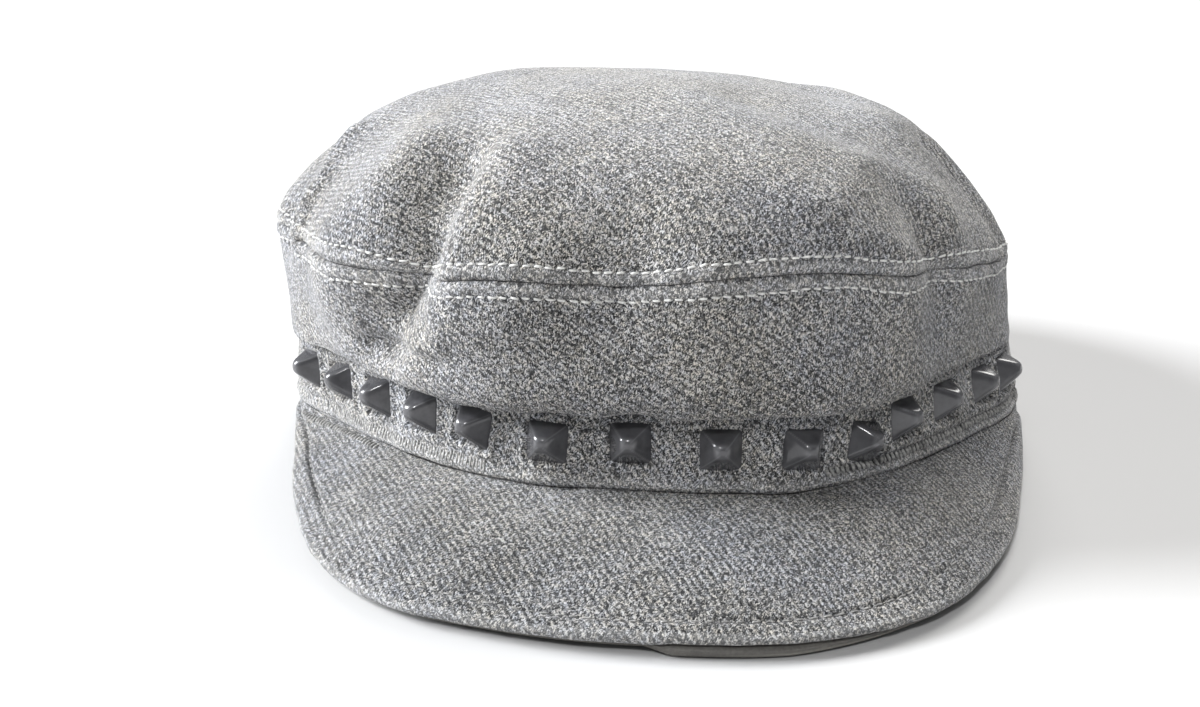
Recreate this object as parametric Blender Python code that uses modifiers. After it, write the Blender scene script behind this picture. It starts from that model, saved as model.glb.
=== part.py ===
"""Peaked cloth cap: a soft domed crown, a studded band and a cloth-covered peak.

Metres, +Z up, front towards -Y. The cap is drawn in its own frame, whose origin is
the middle of the band's lower edge, and then leans back a little, because it rests
on the front edge of its peak and on the back of its band.
"""

import math

import bmesh
import bpy
import numpy as np
from mathutils import Matrix, Vector

MM = 0.001

# ---- how the cap rests ------------------------------------------------------
REST_TILT_DEG = 4.3  # front of the band higher than the back
REST_SHIFT_MM = (0.48, 9.64, 7.37)  # puts the box's bottom centre at the origin

# ---- walls ------------------------------------------------------------------
CROWN_WALL = 1.8  # mm, wool twill with its backing
BAND_WALL = 2.4  # mm, two layers of the same cloth
BAND_HEIGHT = 21.0  # mm
PEAK_WALL = 2.2  # mm, cloth over a board
FACING_WALL = 0.9  # mm, smooth under layer of the peak
GAP = 0.35  # mm between pieces

# ---- plan of the band and crown, a row for each azimuth ---------------------
# azimuth_deg is 0 at the front and positive towards +X; lengths in mm.
# band_r: outer radius at the band's lower edge. lean: how far its top leans in.
# over: how far the crown bulges past the band's top. roll_z: lowest line of that
# bulge. seam_out, seam_z: the crown's seam, outwards of the band's top and up.
PLAN_COLUMNS = ("azimuth_deg", "band_r", "lean", "over", "roll_z", "seam_out", "seam_z")
PLAN = (
    (-180, 98.0, 2.0, 5.0, 17.6, 5.6, 41.0),
    (-135, 95.5, 2.0, 4.2, 17.4, 4.8, 42.0),
    (-95, 92.6, 1.5, 2.0, 17.0, 3.0, 43.5),
    (-72, 92.4, 1.2, 1.8, 17.0, 3.0, 44.2),
    (-58, 86.4, 1.0, 5.0, 18.0, 6.2, 43.0),
    (-45, 84.8, 1.0, 7.0, 18.4, 8.8, 42.0),
    (-32, 85.6, 1.0, 7.2, 17.6, 8.8, 41.6),
    (-18, 86.5, 1.0, 8.2, 16.8, 9.4, 43.8),
    (-4, 85.3, 1.0, 8.2, 17.0, 9.6, 43.3),
    (8, 87.2, 1.0, 7.6, 17.2, 8.6, 45.4),
    (20, 89.6, 1.6, 5.8, 17.4, 6.6, 45.8),
    (32, 87.8, 2.0, 5.4, 17.5, 7.0, 43.4),
    (45, 86.4, 2.4, 3.4, 18.4, 5.8, 42.5),
    (58, 87.6, 3.4, 2.6, 18.0, 4.2, 41.0),
    (72, 92.7, 4.8, 1.4, 17.4, 0.2, 39.6),
    (95, 92.6, 4.0, 1.8, 17.0, 0.8, 39.0),
    (135, 95.5, 2.5, 4.2, 17.2, 4.6, 40.0),
)

# ---- section of the crown's side ring, from the tuck over the band to the seam
# near: mm outwards of the band's top. over, seam: shares of those plan columns.
# tuck, roll, seam_up: shares of the three heights.
TUCK_Z = BAND_HEIGHT + GAP
SECTION_COLUMNS = ("level", "near", "over", "seam", "tuck", "roll", "seam_up")
SECTION = (
    (0.00, -1.3, 0.00, 0.00, 1.00, 0.00, 0.00),
    (0.04, 0.45, 0.00, 0.00, 0.98, 0.02, 0.00),
    (0.10, 0.80, 0.05, 0.00, 0.60, 0.40, 0.00),
    (0.18, 0.70, 0.34, 0.00, 0.10, 0.90, 0.00),
    (0.28, 0.40, 0.66, 0.00, 0.00, 1.00, 0.00),
    (0.40, 0.20, 0.92, 0.00, 0.00, 0.88, 0.12),
    (0.56, 0.00, 1.02, 0.00, 0.00, 0.66, 0.34),
    (0.78, 0.00, 0.52, 0.52, 0.00, 0.32, 0.68),
    (1.00, 0.00, 0.00, 1.00, 0.00, 0.00, 1.00),
)

# ---- dome of the crown top --------------------------------------------------
TOP_Z = 80.0  # mm above the band's lower edge
TOP_X, TOP_Y = -12.0, 4.0  # mm, middle of the dome
# The dome is full at the front and back and slopes in straighter at the sides.
DOME_COLUMNS = ("azimuth_deg", "plan_power", "rise_power")
DOME = (
    (-180, 2.3, 1.80),
    (-130, 2.45, 1.85),
    (-90, 2.6, 1.52),
    (-50, 2.5, 1.65),
    (0, 2.3, 1.85),
    (50, 2.6, 1.72),
    (90, 2.8, 1.38),
    (130, 2.6, 2.05),
)

# ---- main dents and folds of the crown, a row for each ----------------------
# From one end to the other, as azimuth in degrees and level: 0 at the tuck,
# 1 at the seam, 2 at the middle of the top. width and depth in mm, depth out.
FOLD_COLUMNS = ("from_deg", "from_level", "to_deg", "to_level", "width", "depth")
FOLDS = (
    (-38, 0.58, -24, 1.44, 8.0, -5.0),  # slanting valley at the front left
    (-27, 0.70, -18, 1.36, 7.0, 1.6),  # ridge on its inner side
    (-52, 0.75, -42, 1.45, 11.0, 2.4),  # full cloth on its outer side
    (-6, 0.80, -4, 1.15, 9.0, -1.6),  # shallow dip at the middle of the seam
    (41, 0.80, 37, 1.20, 7.5, -3.6),  # pit where the seam is drawn in, front right
    (24, 1.18, 34, 1.34, 7.0, 1.2),  # soft crease running into it
    (44, 1.42, 30, 1.62, 10.0, -1.8),  # shallow hollow higher up on the right
    (66, 1.48, 118, 1.50, 13.0, 2.8),  # full shoulder on the right
    (-172, 1.60, -148, 1.55, 18.0, 1.6),  # fuller at the back left
)
FOLD_POINTS = 9  # points along each fold

# ---- peak, a row for each azimuth -------------------------------------------
# edge_r: radius of its edge. lift: how far the underside of the edge is above
# what the cap stands on. arch: how far its middle stands above a straight line.
PEAK_COLUMNS = ("azimuth_deg", "edge_r", "lift", "arch")
PEAK = (
    (-81, 93.9, 4.85, 0.0),
    (-76, 94.2, 3.25, 0.1),
    (-70, 95.0, 1.85, 0.4),
    (-62, 97.1, 0.65, 0.7),
    (-53, 102.0, 0.25, 1.0),
    (-44, 108.4, 0.25, 1.4),
    (-35, 116.2, 0.25, 1.8),
    (-26, 121.2, 0.45, 2.0),
    (-14, 122.0, 0.65, 2.0),
    (0, 122.8, 0.75, 2.0),
    (14, 124.6, 0.65, 2.0),
    (26, 122.0, 0.45, 2.0),
    (35, 115.8, 0.25, 1.8),
    (44, 108.8, 0.25, 1.4),
    (53, 102.2, 0.25, 1.0),
    (62, 98.0, 0.65, 0.7),
    (70, 95.8, 1.85, 0.4),
    (76, 94.9, 3.25, 0.1),
    (81, 94.3, 4.85, 0.0),
)
PEAK_ROOT_IN = 0.9  # mm that the peak's root lies under the band
FACING_PROUD = 0.5  # mm that the under layer shows past the cloth

# ---- studs, over the peak from one end of it to the other ---------------------
STUD_SIDE = 8.8  # mm
STUD_RISE = 4.4  # mm
STUD_SPACING = 15.9  # mm
STUD_CLEAR = 0.15  # mm more, because the band curves behind a flat base
STUD_Z = 10.2  # mm, middle of a stud above the band's lower edge
STUD_START = 3.2  # mm from the front middle to halfway between the middle two
# They are set by hand, so none sits quite true. From the one furthest towards -X:
# along and up in mm from even spacing, turn in degrees.
STUD_COLUMNS = ("along", "up", "turn")
STUDS = (
    (-1.2, 0.2, 3),
    (-1.5, 0.4, 8),
    (-1.5, 0.4, 5),
    (-1.2, 0.6, 0),
    (-2.7, 0.3, -9),
    (-1.6, -0.8, -3),
    (-0.6, -0.1, 1),
    (1.6, -0.8, 0),
    (2.5, -1.2, -5),
    (2.2, -1.8, -13),
    (-1.3, 0.7, 2),
    (-1.0, 1.3, 0),
    (1.6, 1.1, 0),
    (-0.9, 1.1, 0),
)

# ---- the two edges of the crown's seam, as levels either side of it -----------
SEAM_BELOW, SEAM_ABOVE = 0.005, 0.002

# ---- fineness ---------------------------------------------------------------
ROUND_STEPS = 76
TOP_STEPS = 9
PEAK_ACROSS, PEAK_DEEP = 46, 6


def smooth_read(rows, columns, name, at, period=None):
    """A column of a table, read smoothly at the values in `at`: cubic, through every row."""
    where = np.array([row[0] for row in rows], float)
    value = np.array([row[columns.index(name)] for row in rows], float)
    if period:
        where = np.concatenate([where - period, where, where + period])
        value = np.tile(value, 3)
    slope = np.gradient(value, where)
    at = np.asarray(at, float)
    i = np.clip(np.searchsorted(where, at, side="right") - 1, 0, len(where) - 2)
    span = where[i + 1] - where[i]
    t = np.clip((at - where[i]) / span, 0, 1)
    return (
        (2 * t**3 - 3 * t**2 + 1) * value[i]
        + (t**3 - 2 * t**2 + t) * span * slope[i]
        + (3 * t**2 - 2 * t**3) * value[i + 1]
        + (t**3 - t**2) * span * slope[i + 1]
    )


def plan(name, azimuth):
    azimuth = (np.asarray(azimuth, float) + 180) % 360 - 180
    return smooth_read(PLAN, PLAN_COLUMNS, name, azimuth, period=360)


def section(name, level):
    return smooth_read(SECTION, SECTION_COLUMNS, name, level)


def polar(radius, azimuth, z):
    """Points in mm from a radius, an azimuth in degrees and a height."""
    a = np.radians(azimuth)
    radius, a, z = np.broadcast_arrays(radius, a, z)
    return np.stack([radius * np.sin(a), -radius * np.cos(a), z], axis=-1)


def band_face(azimuth, z):
    """The band's outer face."""
    share = np.asarray(z, float) / BAND_HEIGHT
    return polar(plan("band_r", azimuth) - plan("lean", azimuth) * share, azimuth, z)


def crown_base(azimuth, level):
    """The crown's outer face before any dent: level 0 at the tuck, 1 at the seam, 2 at the middle of the top."""
    azimuth, level = np.broadcast_arrays(
        np.asarray(azimuth, float), np.asarray(level, float)
    )
    rim = plan("band_r", azimuth) - plan("lean", azimuth)
    low = np.clip(level, 0, 1)
    out = (
        rim
        + section("near", low)
        + section("over", low) * plan("over", azimuth)
        + section("seam", low) * plan("seam_out", azimuth)
    )
    up = (
        section("tuck", low) * TUCK_Z
        + section("roll", low) * plan("roll_z", azimuth)
        + section("seam_up", low) * plan("seam_z", azimuth)
    )
    side = polar(out, azimuth, up)
    # The top runs from the seam to the middle of the dome, close-set near the seam.
    share = np.cos(np.clip(level - 1, 0, 1) * math.pi / 2)
    turn = (azimuth + 180) % 360 - 180
    plan_power = smooth_read(DOME, DOME_COLUMNS, "plan_power", turn, period=360)
    rise_power = smooth_read(DOME, DOME_COLUMNS, "rise_power", turn, period=360)
    rise = 1 - (1 - np.minimum(share, 1) ** plan_power) ** (1 / rise_power)
    seam = polar(
        rim + plan("seam_out", azimuth), azimuth, plan("seam_z", azimuth)
    )
    middle = np.array([TOP_X, TOP_Y, TOP_Z])
    top = middle + (seam - middle) * np.stack([share, share, rise], axis=-1)
    return np.where((level > 1)[..., None], top, side)


def fold_offset(points):
    """How far the cloth stands out or in at these points, from the table of folds."""
    offset = np.zeros(points.shape[:-1])
    for a_deg, a_level, b_deg, b_level, width, depth in FOLDS:
        share = np.linspace(0, 1, FOLD_POINTS)
        line = crown_base(
            a_deg + (b_deg - a_deg) * share, a_level + (b_level - a_level) * share
        )
        away = np.full(points.shape[:-1], np.inf)
        for start, end in zip(line[:-1], line[1:]):
            along = end - start
            near = np.clip(((points - start) @ along) / (along @ along), 0, 1)
            gap = points - start - near[..., None] * along
            away = np.minimum(away, np.linalg.norm(gap, axis=-1))
        offset += depth * np.exp(-((away / width) ** 2))
    return offset


def crown_face(azimuth, level, with_normal=False):
    """The crown's outer face with its dents and folds."""
    azimuth, level = np.broadcast_arrays(
        np.asarray(azimuth, float), np.asarray(level, float)
    )
    step = 0.01
    here = crown_base(azimuth, level)
    low = np.clip(level - step, 0, 1.96)
    around = crown_base(azimuth + 0.5, np.minimum(level, 1.96)) - crown_base(
        azimuth - 0.5, np.minimum(level, 1.96)
    )
    up = crown_base(azimuth, low + 2 * step) - crown_base(azimuth, low)
    normal = np.cross(around, up)
    normal /= np.linalg.norm(normal, axis=-1, keepdims=True)
    fade = np.clip((level - 0.3) / 0.25, 0, 1)  # no dent where it meets the band
    face = here + normal * (fold_offset(here) * fade)[..., None]
    return (face, normal) if with_normal else face


def table_z(y):
    """Height, in the cap's own frame, of what the cap stands on: it passes under the back of the band."""
    return (y - PLAN[0][1]) * math.tan(math.radians(REST_TILT_DEG))


def peak_face(azimuth, share):
    """The peak's upper face: share 0 at its root under the band, 1 at its edge."""
    azimuth, share = np.broadcast_arrays(
        np.asarray(azimuth, float), np.asarray(share, float)
    )
    edge_r, lift, arch = (
        smooth_read(PEAK, PEAK_COLUMNS, name, azimuth)
        for name in ("edge_r", "lift", "arch")
    )
    root = plan("band_r", azimuth) - PEAK_ROOT_IN
    under = table_z(-edge_r * np.cos(np.radians(azimuth))) + lift
    slope = np.arctan2(-under, edge_r - root)
    edge_z = under + (PEAK_WALL + GAP + FACING_WALL) * np.cos(slope)
    radius = root + (edge_r - root) * share
    z = -GAP + (edge_z + GAP) * share + arch * 4 * share * (1 - share)
    return polar(radius, azimuth, z)


def material(name, colour, roughness, metallic=0.0):
    made = bpy.data.materials.new(name)
    made.use_nodes = True
    shader = made.node_tree.nodes["Principled BSDF"]
    shader.inputs["Base Color"].default_value = (*colour, 1)
    shader.inputs["Roughness"].default_value = roughness
    shader.inputs["Metallic"].default_value = metallic
    return made


def place(name, mesh, surface, collection, parent):
    mesh.shade_smooth()
    mesh.set_sharp_from_angle(angle=math.radians(50))
    mesh.materials.clear()
    mesh.materials.append(surface)
    made = bpy.data.objects.new(name, mesh)
    collection.objects.link(made)
    made.parent = parent
    return made


def ring(name, loop, around):
    """A closed ring: a torus whose points are moved to loop(azimuths, steps), the outline of its wall at each azimuth."""
    points = loop(np.arange(around) * 360 / around)  # (around, steps, 3) in mm
    steps = points.shape[1]
    bpy.ops.mesh.primitive_torus_add(
        major_segments=around, minor_segments=steps, major_radius=1, minor_radius=0.3
    )
    torus = bpy.context.object
    mesh = torus.data
    bpy.data.objects.remove(torus)
    mesh.name = name
    mesh.vertices.foreach_set("co", (points.reshape(-1, 3) * MM).ravel())
    mesh.update()
    outward(mesh)
    return mesh


def outward(mesh):
    shape = bmesh.new()
    shape.from_mesh(mesh)
    bmesh.ops.recalc_face_normals(shape, faces=shape.faces)
    if shape.calc_volume(signed=True) < 0:
        bmesh.ops.reverse_faces(shape, faces=shape.faces)
    shape.to_mesh(mesh)
    shape.free()


def sheet(name, points):
    """An open sheet: a grid whose points are moved to (rows, columns, 3) in mm, doubled ones welded."""
    rows, columns = points.shape[:2]
    shape = bmesh.new()
    bmesh.ops.create_grid(shape, x_segments=columns - 1, y_segments=rows - 1, size=1)
    shape.verts.ensure_lookup_table()
    for vertex, point in zip(shape.verts, points.reshape(-1, 3)):
        vertex.co = Vector(point) * MM
    bmesh.ops.remove_doubles(shape, verts=shape.verts, dist=0.00001)
    shape.normal_update()
    if sum(face.normal.z * face.calc_area() for face in shape.faces) < 0:
        bmesh.ops.reverse_faces(shape, faces=shape.faces)
    mesh = bpy.data.meshes.new(name)
    shape.to_mesh(mesh)
    shape.free()
    return mesh


def thicken(made, wall):
    """Gives an open sheet its wall, inwards of the modelled face."""
    solid = made.modifiers.new("wall", "SOLIDIFY")
    solid.thickness = wall * MM
    solid.offset = -1
    return solid


def band_loop(azimuth):
    """Outline of the band's wall: up the outer face, over and down the inner one, corners eased."""
    ease = 0.6
    outline = (  # share of the wall inwards, height
        (0.0, ease),
        (0.0, BAND_HEIGHT / 2),
        (0.0, BAND_HEIGHT - ease),
        (ease / BAND_WALL, BAND_HEIGHT),
        (1 - ease / BAND_WALL, BAND_HEIGHT),
        (1.0, BAND_HEIGHT - ease),
        (1.0, BAND_HEIGHT / 2),
        (1.0, ease),
        (1 - ease / BAND_WALL, 0.0),
        (ease / BAND_WALL, 0.0),
    )
    rows = []
    for inward, z in outline:
        face = band_face(azimuth, z)
        rows.append(face - polar(BAND_WALL * inward, azimuth, 0.0))
    return np.stack(rows, axis=1)


def crown_side_loop(azimuth):
    """Outline of the crown's side: up its outer face to the seam and back down inside it."""
    levels = (0.0, 0.04, 0.10, 0.18, 0.28, 0.40, 0.56, 0.70, 0.85, 1.0)
    last = 1.0 - SEAM_BELOW
    outer = [crown_face(azimuth, min(level, last)) for level in levels]
    rows = list(outer)
    rim = plan("band_r", azimuth) - plan("lean", azimuth)
    inside = [point - polar(CROWN_WALL, azimuth, 0.0) for point in outer[5:]]
    for point in reversed(inside):
        # Low down it turns in over the band's top and stays clear of it.
        out = np.hypot(point[:, 0], point[:, 1]) - rim
        floor = TUCK_Z + 1.4 - np.clip(out + 0.3, 0, 3)
        point[:, 2] = np.maximum(point[:, 2], floor)
        rows.append(point)
    room = plan("over", azimuth) - CROWN_WALL + 1.3
    rows.append(
        polar(rim - 1.3 + 0.55 * room, azimuth, TUCK_Z + 1.8 - 1.2 * room / 8)
    )
    rows.append(polar(rim - 1.3, azimuth, TUCK_Z + CROWN_WALL))
    return np.stack(rows, axis=1)


def crown_top_mesh():
    """The dome with its wall: a sphere whose upper half becomes the outer face and lower half the inner one."""
    rings = 2 * TOP_STEPS + 1
    shape = bmesh.new()
    bmesh.ops.create_uvsphere(
        shape, u_segments=ROUND_STEPS, v_segments=rings, radius=1.0
    )
    points = np.array([vertex.co for vertex in shape.verts])
    azimuth = np.degrees(np.arctan2(points[:, 0], -points[:, 1]))
    k = np.round(np.arccos(np.clip(points[:, 2], -1, 1)) / math.pi * rings)
    inner = k > TOP_STEPS
    down = np.where(inner, rings - k, k) / TOP_STEPS  # 0 at the middle, 1 at the seam
    level = 2 - down * (1 - SEAM_ABOVE)
    outer_face, normal = crown_face(azimuth, level, with_normal=True)
    # At the seam the wall is cut level, so that the two edges meet face to face.
    share = np.clip((level - 1 - SEAM_ABOVE) / 0.3, 0, 1)[:, None]
    inwards = polar(1.0, azimuth, 0.0) * (1 - share) + normal * share
    inwards /= np.linalg.norm(inwards, axis=-1, keepdims=True)
    moved = outer_face - inwards * (CROWN_WALL * inner)[:, None]
    for vertex, point in zip(shape.verts, moved):
        vertex.co = Vector(point) * MM
    mesh = bpy.data.meshes.new("crown_top")
    shape.to_mesh(mesh)
    shape.free()
    outward(mesh)
    return mesh


def peak_sheet(below, proud):
    """The peak's face, moved `below` mm along its own normal and `proud` mm past its edge."""
    azimuth = np.linspace(PEAK[0][0], PEAK[-1][0], PEAK_ACROSS + 1)[None, :]
    share = np.linspace(0, 1, PEAK_DEEP + 1)[:, None]
    here = peak_face(azimuth, share)
    across = peak_face(azimuth + 0.5, share) - peak_face(azimuth - 0.5, share)
    out = peak_face(azimuth, share + 0.01) - peak_face(azimuth, share - 0.01)
    normal = np.cross(across, out)
    normal /= np.linalg.norm(normal, axis=-1, keepdims=True)
    normal *= np.sign(normal[..., 2:3])
    out /= np.linalg.norm(out, axis=-1, keepdims=True)
    return here - normal * below + out * (share**4)[..., None] * proud


def stud_mesh():
    """A low square pyramid with an eased point and edges."""
    shape = bmesh.new()
    corner = STUD_SIDE / 2 * math.sqrt(2) * MM
    bmesh.ops.create_cone(
        shape,
        cap_ends=True,
        segments=4,
        radius1=corner,
        radius2=corner * 0.10,
        depth=STUD_RISE * MM,
        matrix=Matrix.Translation((0, 0, STUD_RISE / 2 * MM))
        @ Matrix.Rotation(math.radians(45), 4, "Z"),
    )
    mesh = bpy.data.meshes.new("stud")
    shape.to_mesh(mesh)
    shape.free()
    return mesh


def stud_places():
    """(azimuth, height, turn) of each stud: even along the band, then each off true by its own amount."""
    fine = np.linspace(-120, 120, 2401)
    run = band_face(fine, STUD_Z)
    length = np.concatenate(
        [[0], np.cumsum(np.linalg.norm(np.diff(run, axis=0), axis=1))]
    )
    middle = np.interp(0, fine, length) + STUD_START
    places = []
    for i, (along, up, turn) in enumerate(STUDS):
        at = middle + (i - len(STUDS) / 2 + 0.5) * STUD_SPACING + along
        places.append((np.interp(at, length, fine), STUD_Z + up, turn))
    return places


def main():
    for old in list(bpy.data.objects):
        bpy.data.objects.remove(old)
    cap = bpy.data.collections.new("peaked_cloth_cap")
    bpy.context.scene.collection.children.link(cap)
    frame = bpy.data.objects.new("rest_frame", None)
    cap.objects.link(frame)
    frame.rotation_euler = (math.radians(-REST_TILT_DEG), 0, 0)
    frame.location = Vector(REST_SHIFT_MM) * MM

    def cloth(name):
        return material(name, (0.25, 0.25, 0.24), 0.95)

    place(
        "band", ring("band", band_loop, ROUND_STEPS), cloth("band_cloth"), cap, frame
    )
    place(
        "crown_side",
        ring("crown_side", crown_side_loop, ROUND_STEPS),
        cloth("crown_side_cloth"),
        cap,
        frame,
    )
    place("crown_top", crown_top_mesh(), cloth("crown_top_cloth"), cap, frame)
    peak = sheet("peak", peak_sheet(0.0, 0.0))
    made = place("peak", peak, cloth("peak_cloth"), cap, frame)
    thicken(made, PEAK_WALL)
    facing = sheet("peak_facing", peak_sheet(PEAK_WALL + GAP, FACING_PROUD))
    made = place(
        "peak_facing",
        facing,
        material("peak_facing_cloth", (0.06, 0.06, 0.058), 0.6),
        cap,
        frame,
    )
    thicken(made, FACING_WALL)

    shared = stud_mesh()
    for i, (azimuth, z, turn) in enumerate(stud_places()):
        surface = material(f"stud_{i + 1:02d}_metal", (0.07, 0.07, 0.08), 0.3, 0.8)
        made = place(f"stud_{i + 1:02d}", shared.copy(), surface, cap, frame)
        middle = band_face(azimuth, z)
        across = band_face(azimuth + 0.5, z) - band_face(azimuth - 0.5, z)
        up = band_face(azimuth, z + 1) - band_face(azimuth, z - 1)
        across, up = Vector(across).normalized(), Vector(up).normalized()
        out = across.cross(up).normalized()
        basis = Matrix((across, up, out)).transposed().to_4x4()
        spot = (Vector(middle) + out * (GAP + STUD_CLEAR)) * MM
        made.matrix_local = (
            Matrix.Translation(spot) @ basis @ Matrix.Rotation(math.radians(turn), 4, "Z")
        )


main()
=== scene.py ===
"""Looks of the peaked cloth cap: fine cloth, seams, stitches, studs, light and camera.

The first block repeats the tables and curves that the solids were made from, so
that every fine piece lies where its solid is. Lengths are mm in the cap's own
frame (origin at the middle of the band's lower edge, front towards -Y) until
to_world() turns them into metres in the row frame.
"""

import math

import bpy
import numpy as np
from mathutils import Matrix, Quaternion, Vector


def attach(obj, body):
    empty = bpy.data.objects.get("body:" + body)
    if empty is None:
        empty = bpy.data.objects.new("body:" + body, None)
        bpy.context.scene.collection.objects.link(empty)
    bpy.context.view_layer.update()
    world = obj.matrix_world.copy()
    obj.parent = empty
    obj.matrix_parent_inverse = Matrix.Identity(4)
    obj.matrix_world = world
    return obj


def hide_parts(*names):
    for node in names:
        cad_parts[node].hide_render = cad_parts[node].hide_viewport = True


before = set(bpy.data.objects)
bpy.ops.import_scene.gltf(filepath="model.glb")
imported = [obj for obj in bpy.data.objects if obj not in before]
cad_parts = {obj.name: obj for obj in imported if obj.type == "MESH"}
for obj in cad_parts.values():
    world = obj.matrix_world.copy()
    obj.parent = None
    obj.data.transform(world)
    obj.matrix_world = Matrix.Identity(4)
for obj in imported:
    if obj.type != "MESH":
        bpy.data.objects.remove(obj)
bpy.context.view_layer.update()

MM = 0.001

# =============================================================================
# Shape, as in the solids
# =============================================================================
REST_TILT_DEG = 4.3
REST_SHIFT_MM = (0.48, 9.64, 7.37)
CROWN_WALL = 1.8
BAND_WALL = 2.4
BAND_HEIGHT = 21.0
PEAK_WALL = 2.2
FACING_WALL = 0.9
GAP = 0.35

PLAN_COLUMNS = ("azimuth_deg", "band_r", "lean", "over", "roll_z", "seam_out", "seam_z")
PLAN = (
    (-180, 98.0, 2.0, 5.0, 17.6, 5.6, 41.0),
    (-135, 95.5, 2.0, 4.2, 17.4, 4.8, 42.0),
    (-95, 92.6, 1.5, 2.0, 17.0, 3.0, 43.5),
    (-72, 92.4, 1.2, 1.8, 17.0, 3.0, 44.2),
    (-58, 86.4, 1.0, 5.0, 18.0, 6.2, 43.0),
    (-45, 84.8, 1.0, 7.0, 18.4, 8.8, 42.0),
    (-32, 85.6, 1.0, 7.2, 17.6, 8.8, 41.6),
    (-18, 86.5, 1.0, 8.2, 16.8, 9.4, 43.8),
    (-4, 85.3, 1.0, 8.2, 17.0, 9.6, 43.3),
    (8, 87.2, 1.0, 7.6, 17.2, 8.6, 45.4),
    (20, 89.6, 1.6, 5.8, 17.4, 6.6, 45.8),
    (32, 87.8, 2.0, 5.4, 17.5, 7.0, 43.4),
    (45, 86.4, 2.4, 3.4, 18.4, 5.8, 42.5),
    (58, 87.6, 3.4, 2.6, 18.0, 4.2, 41.0),
    (72, 92.7, 4.8, 1.4, 17.4, 0.2, 39.6),
    (95, 92.6, 4.0, 1.8, 17.0, 0.8, 39.0),
    (135, 95.5, 2.5, 4.2, 17.2, 4.6, 40.0),
)
TUCK_Z = BAND_HEIGHT + GAP
SECTION_COLUMNS = ("level", "near", "over", "seam", "tuck", "roll", "seam_up")
SECTION = (
    (0.00, -1.3, 0.00, 0.00, 1.00, 0.00, 0.00),
    (0.04, 0.45, 0.00, 0.00, 0.98, 0.02, 0.00),
    (0.10, 0.80, 0.05, 0.00, 0.60, 0.40, 0.00),
    (0.18, 0.70, 0.34, 0.00, 0.10, 0.90, 0.00),
    (0.28, 0.40, 0.66, 0.00, 0.00, 1.00, 0.00),
    (0.40, 0.20, 0.92, 0.00, 0.00, 0.88, 0.12),
    (0.56, 0.00, 1.02, 0.00, 0.00, 0.66, 0.34),
    (0.78, 0.00, 0.52, 0.52, 0.00, 0.32, 0.68),
    (1.00, 0.00, 0.00, 1.00, 0.00, 0.00, 1.00),
)
TOP_Z = 80.0
TOP_X, TOP_Y = -12.0, 4.0
DOME_COLUMNS = ("azimuth_deg", "plan_power", "rise_power")
DOME = (
    (-180, 2.3, 1.80),
    (-130, 2.45, 1.85),
    (-90, 2.6, 1.52),
    (-50, 2.5, 1.65),
    (0, 2.3, 1.85),
    (50, 2.6, 1.72),
    (90, 2.8, 1.38),
    (130, 2.6, 2.05),
)
PEAK_COLUMNS = ("azimuth_deg", "edge_r", "lift", "arch")
PEAK = (
    (-81, 93.9, 4.85, 0.0),
    (-76, 94.2, 3.25, 0.1),
    (-70, 95.0, 1.85, 0.4),
    (-62, 97.1, 0.65, 0.7),
    (-53, 102.0, 0.25, 1.0),
    (-44, 108.4, 0.25, 1.4),
    (-35, 116.2, 0.25, 1.8),
    (-26, 121.2, 0.45, 2.0),
    (-14, 122.0, 0.65, 2.0),
    (0, 122.8, 0.75, 2.0),
    (14, 124.6, 0.65, 2.0),
    (26, 122.0, 0.45, 2.0),
    (35, 115.8, 0.25, 1.8),
    (44, 108.8, 0.25, 1.4),
    (53, 102.2, 0.25, 1.0),
    (62, 98.0, 0.65, 0.7),
    (70, 95.8, 1.85, 0.4),
    (76, 94.9, 3.25, 0.1),
    (81, 94.3, 4.85, 0.0),
)
PEAK_ROOT_IN = 0.9
FACING_PROUD = 0.5
STUD_SIDE = 8.8
STUD_RISE = 4.4
STUD_SPACING = 15.9
STUD_CLEAR = 0.15
STUD_TOP = 4.5  # mm from the band's face to the rounded top
STUD_Z = 10.2
STUD_START = 3.2
STUDS = (
    (-1.2, 0.2, 3),
    (-1.5, 0.4, 8),
    (-1.5, 0.4, 5),
    (-1.2, 0.6, 0),
    (-2.7, 0.3, -9),
    (-1.6, -0.8, -3),
    (-0.6, -0.1, 1),
    (1.6, -0.8, 0),
    (2.5, -1.2, -5),
    (2.2, -1.8, -13),
    (-1.3, 0.7, 2),
    (-1.0, 1.3, 0),
    (1.6, 1.1, 0),
    (-0.9, 1.1, 0),
)


def smooth_read(rows, columns, name, at, period=None):
    """A column of a table, read smoothly at the values in `at`: cubic, through every row."""
    where = np.array([row[0] for row in rows], float)
    value = np.array([row[columns.index(name)] for row in rows], float)
    if period:
        where = np.concatenate([where - period, where, where + period])
        value = np.tile(value, 3)
    slope = np.gradient(value, where)
    at = np.asarray(at, float)
    i = np.clip(np.searchsorted(where, at, side="right") - 1, 0, len(where) - 2)
    span = where[i + 1] - where[i]
    t = np.clip((at - where[i]) / span, 0, 1)
    return (
        (2 * t**3 - 3 * t**2 + 1) * value[i]
        + (t**3 - 2 * t**2 + t) * span * slope[i]
        + (3 * t**2 - 2 * t**3) * value[i + 1]
        + (t**3 - t**2) * span * slope[i + 1]
    )


def plan(name, azimuth):
    azimuth = (np.asarray(azimuth, float) + 180) % 360 - 180
    return smooth_read(PLAN, PLAN_COLUMNS, name, azimuth, period=360)


def section(name, level):
    return smooth_read(SECTION, SECTION_COLUMNS, name, level)


def polar(radius, azimuth, z):
    """Points in mm from a radius, an azimuth in degrees and a height."""
    a = np.radians(azimuth)
    radius, a, z = np.broadcast_arrays(radius, a, z)
    return np.stack([radius * np.sin(a), -radius * np.cos(a), z], axis=-1)


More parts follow.
